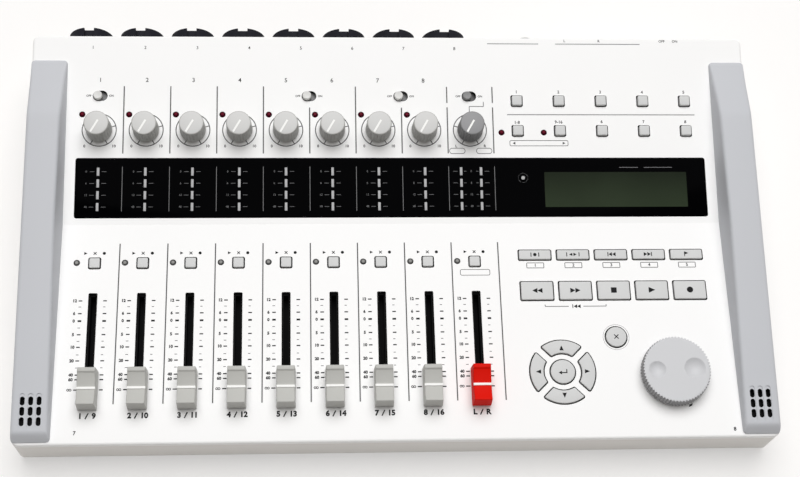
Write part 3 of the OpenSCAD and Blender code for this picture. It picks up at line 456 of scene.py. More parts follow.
def ring(ink, x, s, r, width, count=56):
    """A printed circle."""
    turns = [math.tau * k / count for k in range(count)]
    inner, outer = r - width / 2, r + width / 2
    rows = []
    for radius, n in ((inner, 0.0), (outer, 0.0), (outer, INK_UP), (inner, INK_UP)):
        rows.append([(x + radius * math.cos(a), s + radius * math.sin(a), n) for a in turns])
    band(ink, rows)


def frame_line(ink, x, s, w, d, r, width):
    """A printed rounded frame."""
    outline = oblong(x, s, w, d, r)
    sides = ((-width, 0.0), (0.0, 0.0), (0.0, INK_UP), (-width, INK_UP))
    band(ink, [[(*p, n) for p in outline(grow)] for grow, n in sides])


def number(ink, text, x, s, size, bold=0.0):
    """Printed numbers, or the words ON and OFF and the letters L and R."""
    curve = bpy.data.curves.new("print", "FONT")
    curve.body = text
    curve.size = size
    curve.align_x = curve.align_y = "CENTER"
    curve.offset = bold
    curve.extrude = INK_UP / 2
    curve.resolution_u = 3
    holder = bpy.data.objects.new("print", curve)
    flat = bpy.data.meshes.new_from_object(holder)
    corners = [ink.verts.new((x + v.co.x, s + v.co.y, INK_UP / 2 + v.co.z)) for v in flat.vertices]
    for face in flat.polygons:
        ink.faces.new([corners[k] for k in face.vertices])
    bpy.data.objects.remove(holder)
    bpy.data.curves.remove(curve)
    bpy.data.meshes.remove(flat)


def wedge(ink, x, s, w, d, facing, low=0.0):
    """A printed triangle of width w and height d that points to facing, in degrees."""
    turn = Matrix.Rotation(math.radians(facing), 2)
    corners = [Vector((d / 2, 0)), Vector((-d / 2, w / 2)), Vector((-d / 2, -w / 2))]
    patch(ink, [(x + p.x, s + p.y) for p in (turn @ c for c in corners)], low)


print_grey = moulded("print_grey", (88, 88, 90), 0.55, drift=0.06, Specular_IOR_Level=0.1)
print_dark = moulded("print_dark", (18, 18, 20), 0.55, drift=0.06, Specular_IOR_Level=0.1)
grey = bmesh.new()
dark = bmesh.new()
LINE_W, THIN_W, FRAME_W = 0.6, 0.35, 0.3
PLAIN, BOLD = 0.03, 0.05

LINES = [-139.7 + STRIP_PITCH * i for i in range(9)]
WHOLE, SHORT, BROKEN = [(37.7, 74.1)], [(37.7, 62.6)], [(37.7, 62.8), (65.2, 74.1)]
KNOB_LINES = {4: SHORT, 6: SHORT, 7: BROKEN, 8: BROKEN}
for i, x in enumerate(LINES):
    line(grey, (x, -10.4), (x, -94.3), LINE_W)
    for s0, s1 in KNOB_LINES.get(i, WHOLE):
        line(grey, (x, s0), (x, s1), LINE_W)

SCALE = [("12", -41.0), ("6", -47.7), ("0", -51.6), ("5", -58.7), ("10", -65.2), ("20", -72.2),
         ("40", -79.4), ("60", -81.8)]
MINOR, END_S = [-44.2, -55.2, -62.1, -69.1, -75.8], -87.0
MAJOR_TICKS, MINOR_TICKS = ((-6.9, -5.1), (5.2, 7.0)), ((-6.8, -5.5), (5.3, 6.4))
END_TICKS, END_RINGS = ((-7.2, -5.1), (5.2, 7.0)), (-9.8, -8.7)
for x in STRIPS:
    for text, s in SCALE:
        ticks(dark, x, s, MAJOR_TICKS, 0.95 if text == "0" else LINE_W)
        number(dark, text, x - 8.8, s, 2.1, 0.11)
    for s in MINOR:
        ticks(grey, x, s, MINOR_TICKS, 0.32)
    for beside in END_RINGS:
        ring(dark, x + beside, END_S, 0.5, 0.34, 20)
    ticks(dark, x, END_S, END_TICKS, LINE_W)

PAIR_S, PAIR_SIZE, PAIR_BOLD, PAIR_GAP = -100.2, 3.7, 0.19, 3.3


def pair(x, first, second, gap=PAIR_GAP):
    """Two printed marks under a fader, with a stroke between them."""
    number(dark, first, x - PAIR_GAP, PAIR_S, PAIR_SIZE, PAIR_BOLD)
    line(dark, (x - 0.8, PAIR_S - 1.4), (x + 0.6, PAIR_S + 1.5), LINE_W)
    number(dark, second, x + gap, PAIR_S, PAIR_SIZE, PAIR_BOLD)


pair(STRIPS[0], "1", "9")
for i, x in enumerate(STRIPS[1:8], 1):
    pair(x - 0.4, str(i + 1), str(i + 9), 3.9)
pair(MASTER_X, "L", "R")

CHANNEL_S, RING_R = 77.4, 8.7
for i, x in enumerate(STRIPS):
    channel = i < 8
    if channel:
        number(dark, str(i + 1), x, CHANNEL_S, 3.2, PLAIN)
    ring(grey, x, KNOB_S, RING_R, 0.5)
    for degrees in (240, 300, 15 if channel else 165):
        a = math.radians(degrees)
        ends = [(x + r * math.cos(a), KNOB_S + r * math.sin(a)) for r in (6.2, 8.6)]
        line(grey, *ends, 0.45)
    for text, beside in zip(("0", "10") if channel else ("L", "R"), (-7.4, 7.6)):
        number(dark, text, x + beside, KNOB_S - RING_R, 2.0, BOLD)
for x in SWITCH_X:
    for text, beside in (("OFF", -5.8), ("ON", 5.8)):
        number(dark, text, x + beside, SWITCH_S, 1.5, PLAIN)
for x in (33.1, 47.2):
    frame_line(grey, x, 39.0, 8.4, 3.2, 1.5, FRAME_W)
path(grey, [(MASTER_X, 60.2), (MASTER_X, 63.3), (47.5, 63.3), (47.5, 65.9)], THIN_W)

BANK_X, BANK_S, BANK_W = 76.2, 43.2, 31.0
line(grey, (59.9, 58.8), (159.8, 58.8), 0.4)
frame_line(grey, BANK_X, BANK_S, BANK_W, 3.2, 0.8, 0.32)
for beside, facing in ((-13.2, 180), (13.2, 0)):
    wedge(grey, BANK_X + beside, BANK_S, 1.6, 1.4, facing)
number(dark, "1-8", 65.0, 54.5, 2.3, BOLD)
number(dark, "9-16", 87.0, 54.7, 2.3, BOLD)
menu_places = [(x, MENU_S[0]) for x in MENU_X] + [(x, MENU_S[1]) for x in MENU_X[2:]]
for i, (x, s) in enumerate(menu_places):
    number(dark, str(i + 1), x, s + 5.0, 2.2, BOLD)

TAG_S, BRACKET_S, BRACKET_UP = -23.3, -45.6, 1.0
for i, x in enumerate(WIDE_X):
    frame_line(grey, x, TAG_S, 9.1, 3.1, 0.5, 0.34)
    number(dark, str(i + 1), x, TAG_S, 2.3, BOLD)
for outer, inner in ((74.8, 86.8), (106.0, 94.3)):
    path(grey, [(outer, BRACKET_S + BRACKET_UP), (outer, BRACKET_S), (inner, BRACKET_S)], THIN_W)
line(dark, (88.9, BRACKET_S - 1.0), (88.9, BRACKET_S + 1.0), 0.4)
for x in (90.2, 92.0):
    wedge(dark, x, BRACKET_S, 2.0, 1.8, 180)

SOCKET_S, WORD_S, REAR_LINE_S = 95.3, 99.9, 98.2
for i in range(8):
    number(dark, str(i + 1), -156.3 + 27.04 * i, SOCKET_S, 2.4, 0.02)
for x, text in ((92.0, "L"), (110.4, "R"), (144.5, "OFF"), (151.6, "ON")):
    number(dark, text, x, WORD_S, 1.9, PLAIN)
for x0, x1 in ((50.6, 77.9), (87.0, 132.5)):
    line(grey, (x0, REAR_LINE_S), (x1, REAR_LINE_S), THIN_W)
for text, x, s in (("7", -157.6, -108.6), ("8", 165.2, -110.4)):
    number(dark, text, x, s, 2.6, 0.08)

ring(grey, *EXIT, 6.6, 0.14)
SIGN_S = TRACK_S + 5.4
for x in STRIPS:
    wedge(dark, x - 4.6, SIGN_S, 1.6, 1.6, 0)
    cross(dark, x, SIGN_S, 0.7, 0.4)
    patch(dark, disc(x + 4.6, SIGN_S, 0.8, 20)())
frame_line(grey, MASTER_X, TRACK_S - 5.9, 15.4, 3.4, 1.0, FRAME_W)
JOG_MARK = [(143.1, -99.0), (144.9, -98.3), (145.3, -97.1), (143.6, -97.7)]
patch(dark, JOG_MARK)
put("deck_print_grey", grey, print_grey)
put("deck_print_dark", dark, print_dark)

# Side rails: hollow grey ABS mouldings with rounded edges that stand on the deck from front to rear
# and climb towards the back, screwed on from below. Nine short slots in three shallow grooves
# of each front end let sound in to a microphone.
rail_grey = moulded("rail_grey_plastic", (196, 198, 203), 0.5, drift=0.02, grain=0.18,
                    Specular_IOR_Level=0.3)
RAIL_IN, RAIL_OUT, RAIL_LEAN, RAIL_END_R, RAIL_EDGE_R = 169.0, 187.5, 0.14, 2.0, 2.0
FRONT_Y = BEND_Y + FRONT_S
RAIL_Y0, RAIL_Y1, CREST_Y = FRONT_Y + 1.5, BEND_Y + 86.719, BEND_Y + 54.0
NOSE_Z, CREST_Z, RAIL_SEAT = 28.5, 47.5, 0.03
NOSE_SLOPE, CLIMB_SLOPE, RAMP_SLOPE = 1.05, 15.1 / 162.0, 4.765 / 32.719
NOSE_SOFT, CREST_SOFT = 0.4, 0.25
TAIL_L, TAIL_DROP = 1.5, 0.5
MIC_X, MIC_Y, MIC_STEP_X, MIC_STEP_Y = 178.25, FRONT_Y + 15.8, 4.0, 5.0
MIC_SLOT, MIC_SLOT_TOP, MIC_SLOT_FLOOR = (2.25, 4.3, 1.1), 45.0, 30.2
GROOVE, GROOVE_DEEP, GROOVE_Y = (2.6, 17.9, 1.28), 0.4, MIC_Y - 0.33
CUT_OVER, CUT_EDGE = 3.0, 0.01


def as_is(x, y, z):
    """A place in the frame itself; mm in, metres out."""
    return Vector((x, y, z)) * MM


def lower_of(first, second, soft):
    """The lower of two heights, run together softly where they are alike."""
    return min(first, second) - soft * math.log(1 + math.exp(-abs(first - second) / soft))


def rail_climb(y):
    return CREST_Z + (y - CREST_Y) * CLIMB_SLOPE


def rail_top(y):
    """Height of the rail: a sloped nose, the long climb and the ramp at the rear."""
    nose = NOSE_Z + NOSE_SLOPE * (y - RAIL_Y0)
    ramp = CREST_Z - (y - CREST_Y) * RAMP_SLOPE
    return lower_of(lower_of(nose, rail_climb(y), NOSE_SOFT), ramp, CREST_SOFT)


def along_rail(x, y, n):
    """A place at the height n above the climb of a rail."""
    return as_is(x, y, rail_climb(y) + n)


def deck_top(y):
    return DECK_Z + max(0.0, y - BEND_Y) * math.tan(TILT)


def fillet(corner, start, end, steps=5):
    """Points round a corner between two tangent points."""
    points = []
    for k in range(steps + 1):
        t = k / steps
        points.append(tuple((1 - t) ** 2 * a + 2 * t * (1 - t) * c + t * t * b
                            for a, c, b in zip(start, corner, end)))
    return points


def turned_in(run, r):
    """How far a rounded corner of radius r draws a side in, run past its end."""
    return 0.0 if run >= r else r - math.sqrt(r * r - (r - run) ** 2)


def rail_section(y):
    """The outline of the right rail at one place along it, from its inner foot to its outer one."""
    left = RAIL_Y1 - y
    outer = RAIL_OUT - max(turned_in(y - FRONT_Y, CORNER_R), turned_in(left, RAIL_END_R))
    inner = RAIL_IN + max(turned_in(y - RAIL_Y0, RAIL_END_R), turned_in(left, RAIL_END_R))
    base = deck_top(y) + RAIL_SEAT
    top = rail_top(y) - (TAIL_DROP * (1 - left / TAIL_L) ** 2 if left < TAIL_L else 0.0)
    high = top - base
    r = min(RAIL_EDGE_R, 0.45 * high)
    crest = inner + RAIL_LEAN * high
    points = [(inner, base)]
    points += fillet((crest, top), (crest - RAIL_LEAN * r, top - r), (crest + r, top))
    points += fillet((outer, top), (outer - r, top), (outer, top - r))
    return points + [(outer, base)]


def carve(piece, cutter):
    """Cuts a shape out of a piece for good."""
    cut = piece.modifiers.new("cut", "BOOLEAN")
    cut.operation = "DIFFERENCE"
    cut.solver = "EXACT"
    cut.material_mode = "TRANSFER"
    cut.object = cutter
    bpy.context.view_layer.update()
    graph = bpy.context.evaluated_depsgraph_get()
    done = bpy.data.meshes.new_from_object(piece.evaluated_get(graph))
    piece.modifiers.clear()
    old = piece.data
    piece.data = done
    done.name = old.name
    done.set_sharp_from_angle(angle=math.radians(CREASE))
    bpy.data.meshes.remove(old)
    bpy.data.objects.remove(cutter)


stations = [RAIL_Y0 + d for d in (0.0, 0.3, 0.7, 1.2, 1.8, 2.6, 3.4, 4.2, 4.8, 5.4, 6.0, 6.6, 7.4, 9.0)]
stations += [RAIL_Y0 + 14.0] + [-90.0 + 10.0 * k for k in range(9)] + [BEND_Y, 12.0, 22.0, 32.0, 42.0]
stations += [CREST_Y + d for d in (-8.0, -5.0, -3.0, -1.5, 0.0, 1.5, 3.0, 5.0, 8.0)] + [72.0, 81.0]
stations += [RAIL_Y1 - d for d in (4.0, 2.0, 1.5, 1.0, 0.6, 0.3, 0.1, 0.0)]
for side, node in ((-1, "left_rail"), (1, "right_rail")):
    shape = bmesh.new()
    filled(shape, [[(side * x, y, z) for x, z in rail_section(y)] for y in stations])
    rail = put(node.replace("_", "_side_"), shape, rail_grey, stands_for=(node,),
               bend=as_is)
    grooves = bmesh.new()
    holes = bmesh.new()
    for column in (-1, 0, 1):
        x = side * MIC_X + column * MIC_STEP_X
        slab(grooves, oblong(x, GROOVE_Y, *GROOVE), CUT_OVER, -GROOVE_DEEP, CUT_EDGE)
        for row in (-1, 0, 1):
            hole = oblong(x, MIC_Y + row * MIC_STEP_Y, *MIC_SLOT)
            slab(holes, hole, MIC_SLOT_TOP, MIC_SLOT_FLOOR, CUT_EDGE)
    carve(rail, put("cutter", grooves, rail_grey, bend=along_rail))
    # Painted shade: the walls and floor of the sound slots take black, for the shade inside the rail.
    rail.data.materials.append(black_and_slot_shade)
    carve(rail, put("cutter", holes, black_and_slot_shade, bend=as_is))

# Display strip: one black acrylic window let into the tilted deck and glued there, printed from
# behind with meter scales, with a liquid crystal pane on the right and a beat lamp beside it.
PANE_X, PANE_S, PANE_W, PANE_D = 115.8, 18.1, 75.0, 18.8
REAR_SHADE_FROM, REAR_SHADE_LENGTH = on_deck(0, 9)[1], 0.0186
METER_S = [28.0, 21.77, 15.54, 9.31]
METER_W, METER_D, METER_TICKS, INNER_TICKS = 1.3, 4.3, (1.9, 4.2), (1.4, 2.6)
MASTER_METERS = (34.8, 45.2)
METER_X = STRIPS[:8] + list(MASTER_METERS)
PANE_MARKS, PANE_MARK_S = ((118.0, 128.0), (131.0, 146.0)), 30.0
BEAT, BEAT_R, BEAT_RING_R = (67.1, 24.4), 1.0, 2.5


def gloss(name, colour, rough, level, rear_shade=0.0):
    """Polished acrylic: deep colour with faint hair scratches in the gloss, and a painted shade that
    darkens it to the rear.
    """

    def paint(wire):
        place = wire.add("ShaderNodeTexCoord", out="Object")
        brushed = wire.add("ShaderNodeMapping", None, {"Vector": place, "Rotation": (0.0, 0.0, 0.5),
                                                       "Scale": (60.0, 1500.0, 60.0)})
        hair = wire.add("ShaderNodeTexNoise", None, {"Vector": brushed, "Scale": 1.0, "Detail": 2.0})
        cloud = wire.add("ShaderNodeTexNoise", None, {"Vector": place, "Scale": 30.0, "Detail": 3.0})
        rear = wire.add("ShaderNodeSeparateXYZ", None, {"Vector": place}, 1)
        # Painted shade: the colour darkens towards the rear, for the shade of the window's frame.
        painted_rear_shade = wire.math("MAXIMUM", (rear - REAR_SHADE_FROM) * (rear_shade / REAR_SHADE_LENGTH), 0.0)
        tint = wire.blend(cloud * 0.4 + 0.3 - painted_rear_shade, tone(*colour, 0.7), tone(*colour, 1.3))
        return {"Base Color": tint, "Roughness": (hair > 0.66) * 0.08 + cloud * 0.05 + rough}

    return finish(name, paint, Specular_IOR_Level=level)


window_black = gloss("window_black", (2, 2, 3), 0.06, 0.004)
# The pane gets a painted shade towards the rear.
pane_green = gloss("lcd_green", (46, 55, 41), 0.16, 0.008, 0.5)
meter_grey = moulded("meter_grey", (158, 158, 160), 0.4)
meter_dim = moulded("meter_print", (78, 78, 80), 0.45)
lamp_white = moulded("lamp_white", (156, 156, 157), 0.3)
shape = bmesh.new()
slab(shape, oblong(0, WINDOW_MID, WINDOW_W, WINDOW_D, 1.0), 0.0, -1.5, 0.2)
put("display_strip", shape, window_black, stands_for=("display_window",))
shape = bmesh.new()
slab(shape, oblong(PANE_X, PANE_S, PANE_W, PANE_D, 0.4), 0.03, 0.0, 0.02)
put("lcd_pane", shape, pane_green)
bars = bmesh.new()
marks = bmesh.new()
for s in METER_S:
    for x in METER_X:
        slab(bars, oblong(x, s, METER_W, METER_D, 0.15), 0.05, 0.0, 0.04)
        for side in (-1, 1):
            between = x in MASTER_METERS and (MASTER_X - x) * side > 0
            near, far = INNER_TICKS if between else METER_TICKS
            line(marks, (x + side * near, s), (x + side * far, s), 0.2)
for x in [x - 6.0 for x in STRIPS[:8]] + [MASTER_X]:
    for text, s in zip(("0", "6", "12", "48"), METER_S):
        number(marks, text, x, s, 1.5)
for x in LINES:
    line(marks, (x, 7.0), (x, 30.6), FRAME_W)
for x0, x1 in PANE_MARKS:
    line(marks, (x0, PANE_MARK_S), (x1, PANE_MARK_S), FRAME_W)
ring(marks, *BEAT, BEAT_RING_R, 0.07)
put("meter_bars", bars, meter_grey)
put("display_print", marks, meter_dim)
beat = bmesh.new()
slab(beat, disc(*BEAT, BEAT_R, LAMP_STEPS), 0.12, 0.0, 0.11)
put("beat_lamp", beat, lamp_white)

# Lamps: small lenses of tinted acrylic that stand up a little through holes in the deck,
# dark red for peak and bank, smoke grey for the tracks. Each is pushed in from below.
LENS_SIDE = [(1.45, -2.4), (1.45, 0.0), (1.38, 0.16), (1.2, 0.32), (0.92, 0.45), (0.55, 0.54),
             (0.15, 0.57)]
LENS_CREASE = 60.0


def lens_with_painted_highlight(name, deep, bright):
    """A tinted lens with a painted highlight: lighter where it faces up at its crown, deeper at its rim."""

    def paint(wire):
        place = wire.add("ShaderNodeTexCoord", out="Object")
        speck = wire.add("ShaderNodeTexNoise", None, {"Vector": place, "Scale": 900.0, "Detail": 2.0})
        tilt = wire.add("ShaderNodeNewGeometry", out="Normal")
        rise = wire.add("ShaderNodeSeparateXYZ", None, {"Vector": tilt}, 2)
        # Painted highlight: the faces turn to the bright tone the more they face up.
        crown = (rise - 0.93) * 18.0
        return {"Base Color": wire.blend(crown, deep, bright), "Roughness": speck * 0.15 + 0.12}

    return finish(name, paint, Specular_IOR_Level=0.03)


def lenses(name, material, spots, stands_for=()):
    """Lamps of one tint, as one piece."""
    shape = bmesh.new()
    for x, s in spots:
        filled(shape, [[(*p, n) for p in disc(x, s, r, LAMP_STEPS)()] for r, n in LENS_SIDE])
    put(name, shape, material, stands_for=stands_for, crease=LENS_CREASE)


lenses("red_lamps", lens_with_painted_highlight("lamp_red", tone(56, 0, 16), tone(100, 14, 34)), PEAK + BANK, ("panel_leds",))
lenses("track_lamps", lens_with_painted_highlight("lamp_smoke", tone(79, 79, 79), tone(152, 152, 150)), STATUS)

# Fader caps: moulded grey caps, the master one red, pushed on flat metal levers. Each has raised lips
# at its ends, a dished top for the finger and a white index line across the middle.
cap_grey = moulded("cap_grey_plastic", (189, 189, 185), 0.5, grain=0.2, Specular_IOR_Level=0.3)
cap_red = moulded("cap_red_plastic", (220, 22, 8), 0.5, grain=0.2, Specular_IOR_Level=0.06)
line_white = moulded("index_white", (244, 244, 242), 0.45)
REST_S, CAP_W, CAP_LIFT, CAP_TAPER, CAP_EDGE = -88.0, 9.5, 1.0, 0.045, 0.38
CAP_SIDE = [(-9.3, CAP_LIFT), (10.2, CAP_LIFT), (9.7, 9.6), (9.0, 10.6), (7.3, 10.6), (6.9, 9.95),
            (3.8, 9.1), (0.5, 8.3), (-1.5, 8.3), (-4.4, 8.95), (-6.6, 9.65), (-8.2, 10.35), (-9.0, 10.45),
            (-9.12, 9.6)]
LEVER_W, LEVER_D, LEVER_LOW = 1.2, 4.0, -9.0
INDEX_S, INDEX_W, INDEX_D, INDEX_TOP, INDEX_LOW = REST_S - 0.5, CAP_W - 0.5, 1.25, 8.7, 8.15
for i, x in enumerate(STRIPS):
    body = f"fader_{i + 1}" if i < 8 else "master_fader"
    plastic, slot = (cap_grey, "cap_grey") if i < 8 else (cap_red, "cap_red")
    shape = bmesh.new()
    filled(shape, [[(end, s, n) for s, n in CAP_SIDE] for end in (-1.0, 1.0)])
    for corner in shape.verts:
        half = CAP_W / 2 - CAP_TAPER * (corner.co.z - CAP_LIFT)
        corner.co = (x + corner.co.x * half, REST_S + corner.co.y, corner.co.z)
    bmesh.ops.recalc_face_normals(shape, faces=shape.faces)
    sharp = [edge for edge in shape.edges if edge.calc_face_angle(0) > math.radians(9)
             and max(corner.co.z for corner in edge.verts) > 2]
    bmesh.ops.bevel(shape, geom=sharp, offset=CAP_EDGE, segments=3, profile=0.5, affect="EDGES",
                    clamp_overlap=True)
    slab(shape, oblong(x, REST_S, LEVER_W, LEVER_D, 0.2), CAP_LIFT + 0.2, LEVER_LOW, 0.05)
    put(body + "_cap", shape, plastic, body, (body,))
    stripe = bmesh.new()
    slab(stripe, oblong(x, INDEX_S, INDEX_W, INDEX_D, 0.2), INDEX_TOP, INDEX_LOW, 0.18)
    put(body + "_line", stripe, line_white, body)

# Rotary knobs: grey moulded knobs with a ribbed grip and a smooth top, pushed on the shafts,
# each with a white pointer line. The balance knob of the master strip is darker.
KNOB_ROWS = [(2.9, -3.4, 0), (2.9, 0.7, 0), (6.7, 0.7, 0), (6.7, 1.0, 0), (6.66, 2.6, 0), (6.6, 3.1, 1),
             (6.42, 11.9, 1), (6.38, 12.35, 0.3), (6.24, 12.65, 0), (5.97, 12.76, 0)]
RIBS, RIB_STEPS, RIB_DEEP = 24, 6, 0.45
KNOB_TOP_R, KNOB_TOP, KNOB_TOP_LOW = 5.92, 12.9, 12.6
POINTER, POINTER_W, POINTER_LOW = math.radians(240), 1.0, 12.88
POINTER_FROM, POINTER_TO = -1.8, 5.5


def ribbed(shape, x, s, rows):
    """A turned shape with ribs round it; each row gives radius, height and share of the rib's depth."""
    turns = [math.tau * k / (RIBS * RIB_STEPS) for k in range(RIBS * RIB_STEPS)]
    rings = []
    for radius, n, share in rows:
        points = []
        for a in turns:
            wave = 0.5 + 0.5 * math.cos(RIBS * a)
            r = radius - RIB_DEEP * share * (1 - wave ** 0.6)
            points.append((x + r * math.cos(a), s + r * math.sin(a), n))
        rings.append(points)
    filled(shape, rings)


# The grips are grey plastic. Their grey is darker than the tops' grey partly as painted shade on the ribbed
# sides.
knob_grey = moulded("knob_grip_grey_painted_shade", (172, 172, 169), 0.45, grain=0.2)
knob_top = moulded("knob_top_plastic", (202, 202, 201), 0.4, grain=0.15)
knob_dark = moulded("knob_dark_grip_painted_shade", (112, 112, 113), 0.45, grain=0.2)
knob_dark_top = moulded("knob_dark_top_plastic", (130, 130, 132), 0.4, grain=0.15)
for i, x in enumerate(STRIPS):
    body = f"gain_knob_{i + 1}" if i < 8 else "balance_knob"
    grip, cover, slot = knob_grey, knob_top, "knob_grey"
    if i == 8:
        grip, cover, slot = knob_dark, knob_dark_top, "knob_dark"
    shape = bmesh.new()
    ribbed(shape, x, KNOB_S, KNOB_ROWS)
    put(body + "_grip", shape, grip, body, (body,))
    top = bmesh.new()
    slab(top, disc(x, KNOB_S, KNOB_TOP_R), KNOB_TOP, KNOB_TOP_LOW, 0.14)
    put(body + "_top", top, cover, body)
    stripe = bmesh.new()
    ends = [(x + r * math.cos(POINTER), KNOB_S + r * math.sin(POINTER)) for r in (POINTER_FROM, POINTER_TO)]
    line(stripe, *ends, POINTER_W, POINTER_LOW)
    put(body + "_pointer", stripe, line_white, body)

# Jog wheel: a moulded grey wheel with a finely toothed rim and two finger dimples of unequal size
# in its top, pushed on the shaft of an encoder under the deck.
jog_grey = moulded("jog_grey_plastic", (205, 206, 209), 0.45, grain=0.12, Specular_IOR_Level=0.3)
# This darker grey is painted shade for the upright faces of the toothed rim.
jog_side_shade = moulded("jog_rim_painted_shade", (158, 158, 160), 0.5, grain=0.2, Specular_IOR_Level=0.3)
JOG_H, JOG_FLAT_R, JOG_ROWS, JOG_CREASE = 7.8, 15.6, 60, 40.0
DIMPLES = [(-9.8, -0.1, 4.3, 1.6), (9.1, 0.5, 5.3, 1.9)]
TEETH, TOOTH_STEPS, TOOTH = 66, 6, 0.7
JOG_SIDE = [(2.9, -3.4, 0), (2.9, 0.8, 0), (16.2, 0.8, 0), (17.1, 1.0, 1), (17.1, 7.3, 1), (17.0, 7.6, 1),
            (16.8, 7.76, 1), (16.5, JOG_H, 1), (JOG_FLAT_R, JOG_H, 0)]
JOG_TOP = [(JOG_FLAT_R * (1 - k / JOG_ROWS), JOG_H, 0) for k in range(1, JOG_ROWS)]


def jog_point(radius, n, share, a):
    """A point of the wheel at an angle: teeth draw its rim in and the dimples sink its top."""
    r = radius - TOOTH * share * (0.5 - 0.5 * math.cos(TEETH * a))
    x, y = r * math.cos(a), r * math.sin(a)
    if n == JOG_H:
        for cx, cy, reach, deep in DIMPLES:
            n -= deep * (1 - min(1.0, math.hypot(x - cx, y - cy) / reach) ** 2)
    return JOG[0] + x, JOG[1] + y, n


turns = [math.tau * k / (TEETH * TOOTH_STEPS) for k in range(TEETH * TOOTH_STEPS)]
shape = bmesh.new()
filled(shape, [[jog_point(*row, a) for a in turns] for row in JOG_SIDE + JOG_TOP])
wheel = put("jog_wheel_turned", shape, jog_grey, "jog_wheel", ("jog_wheel",),
            crease=JOG_CREASE)
# Painted shade: the upright faces of the rim take the darker grey, for the shade between the teeth and on
# the side.
wheel.data.materials.append(jog_side_shade)
for face in wheel.data.polygons:
    if abs(face.normal.z) < 0.5:
        face.material_index = 1

# Slide switches: round grey moulded buttons that slide in stadium-shaped slots of the deck, over a dark
# shutter that rides with the button. The metronome one is darker.
button_grey = moulded("button_grey", (216, 216, 214), 0.42)
shutter_grey = moulded("shutter_grey", (120, 120, 121), 0.5)
button_dark = moulded("button_dark", (120, 120, 121), 0.42)
shutter_dark = moulded("shutter_dark", (76, 76, 77), 0.5)
SWITCH_TRAVEL, NUB_R, NUB_UP, NUB_LOW = 2.2, 2.3, 2.0, -2.9
NUB_SIDE = [(NUB_R, NUB_LOW), (NUB_R, NUB_UP - 0.5), (NUB_R - 0.12, NUB_UP - 0.2), (NUB_R - 0.4, NUB_UP),
            (NUB_R - 0.9, NUB_UP - 0.06), (0.3, NUB_UP - 0.2)]
SHUTTER_W, SHUTTER_D, SHUTTER_TOP, SHUTTER_LOW = SWITCH_W + SWITCH_TRAVEL, SWITCH_D + 1.0, -2.6, -3.4
for node, x in zip(("hi_z_switch", "phantom_switch", "mic_switch", "metronome_switch"), SWITCH_X):
    at = x - SWITCH_TRAVEL / 2
    button, blind = (button_grey, shutter_grey) if x < MASTER_X else (button_dark, shutter_dark)
    shape = bmesh.new()
    filled(shape, [[(*p, n) for p in disc(at, SWITCH_S, r)()] for r, n in NUB_SIDE])
    put(node + "_button", shape, button, node, (node,))
    shutter = bmesh.new()
    slab(shutter, oblong(at, SWITCH_S, SHUTTER_W, SHUTTER_D, 0.3), SHUTTER_TOP, SHUTTER_LOW, 0.1)
    put(node + "_shutter", shutter, blind, node)

# Keys: grey moulded caps that stand a little above the deck and are pressed against springs.
# The rows of small keys are each one moulding; the signs on them are printed.
key_grey = moulded("key_grey_plastic", (208, 209, 209), 0.45, grain=0.15, Specular_IOR_Level=0.3)
KEY_UP, KEY_LOW, KEY_EDGE, KEY_R = 0.9, -2.6, 0.35, 0.6
MENU_UP = 1.6
PLAY_KEYS = ["rewind_key", "forward_key", "stop_key", "play_key", "record_key"]
BAR_UP, BAR_W, CURSOR_SIGN_R = 1.1, 0.45, 12.3


def caps(name, body, outlines, up=KEY_UP):
    """Key caps of one body."""
    shape = bmesh.new()
    for outline in outlines:
        slab(shape, outline, up, KEY_LOW, KEY_EDGE)
    put(name, shape, key_grey, body, (body,))


def print_sign(name, ink, body):
    """Makes a piece of a sign in ink, on the keys of a body."""
    put(name, ink, print_dark, body)


for name, x in zip(PLAY_KEYS, WIDE_X):
    caps(name + "_cap", name, [oblong(x, PLAY_S, WIDE_W, PLAY_D, KEY_R)])
    sign = bmesh.new()
    if name in ("rewind_key", "forward_key"):
        facing, way = (180, -1) if name == "rewind_key" else (0, 1)
        for shift in (-1.4, 1.2):
            wedge(sign, x + way * shift, PLAY_S, 2.7, 2.6, facing, KEY_UP)
    elif name == "stop_key":
        patch(sign, oblong(x, PLAY_S, 2.9, 2.9, 0.1)(), KEY_UP)
    elif name == "play_key":
        wedge(sign, x, PLAY_S, 3.1, 3.4, 0, KEY_UP)
    else:
        patch(sign, disc(x, PLAY_S, 1.6)(), KEY_UP)
    print_sign(name + "_sign", sign, name)


def bar(ink, x, half=BAR_UP, width=BAR_W):
    """An upright stroke on a function key."""
    line(ink, (x, FUNCTION_S - half), (x, FUNCTION_S + half), width, KEY_UP)


caps("function_key_caps", "function_keys",
     [oblong(x, FUNCTION_S, WIDE_W, FUNCTION_D, KEY_R) for x in WIDE_X])
sign = bmesh.new()
loop_in, loop_out, step_back, step_on, flag = WIDE_X
for x, facing, way in ((step_back, 180, -1), (step_on, 0, 1)):
    for shift in (-1.6, 0.3):
        wedge(sign, x + way * shift, FUNCTION_S, 2.2, 1.8, facing, KEY_UP)
    bar(sign, x + way * 1.5)
for x, gap in ((loop_in, 2.0), (loop_out, 3.2)):
    for way in (-1, 1):
        bar(sign, x + way * gap)
patch(sign, disc(loop_in, FUNCTION_S, 0.9, 20)(), KEY_UP)
for shift, facing in ((-1.1, 180), (1.1, 0)):
    wedge(sign, loop_out + shift, FUNCTION_S, 1.8, 1.6, facing, KEY_UP)
bar(sign, flag - 0.9, 1.3, 0.4)
wedge(sign, flag + 0.2, FUNCTION_S + 0.5, 1.5, 1.8, 0, KEY_UP)
print_sign("function_key_signs", sign, "function_keys")
caps("track_key_caps", "track_keys", [oblong(x, TRACK_S, KEY, KEY, KEY_R) for x in STRIPS])
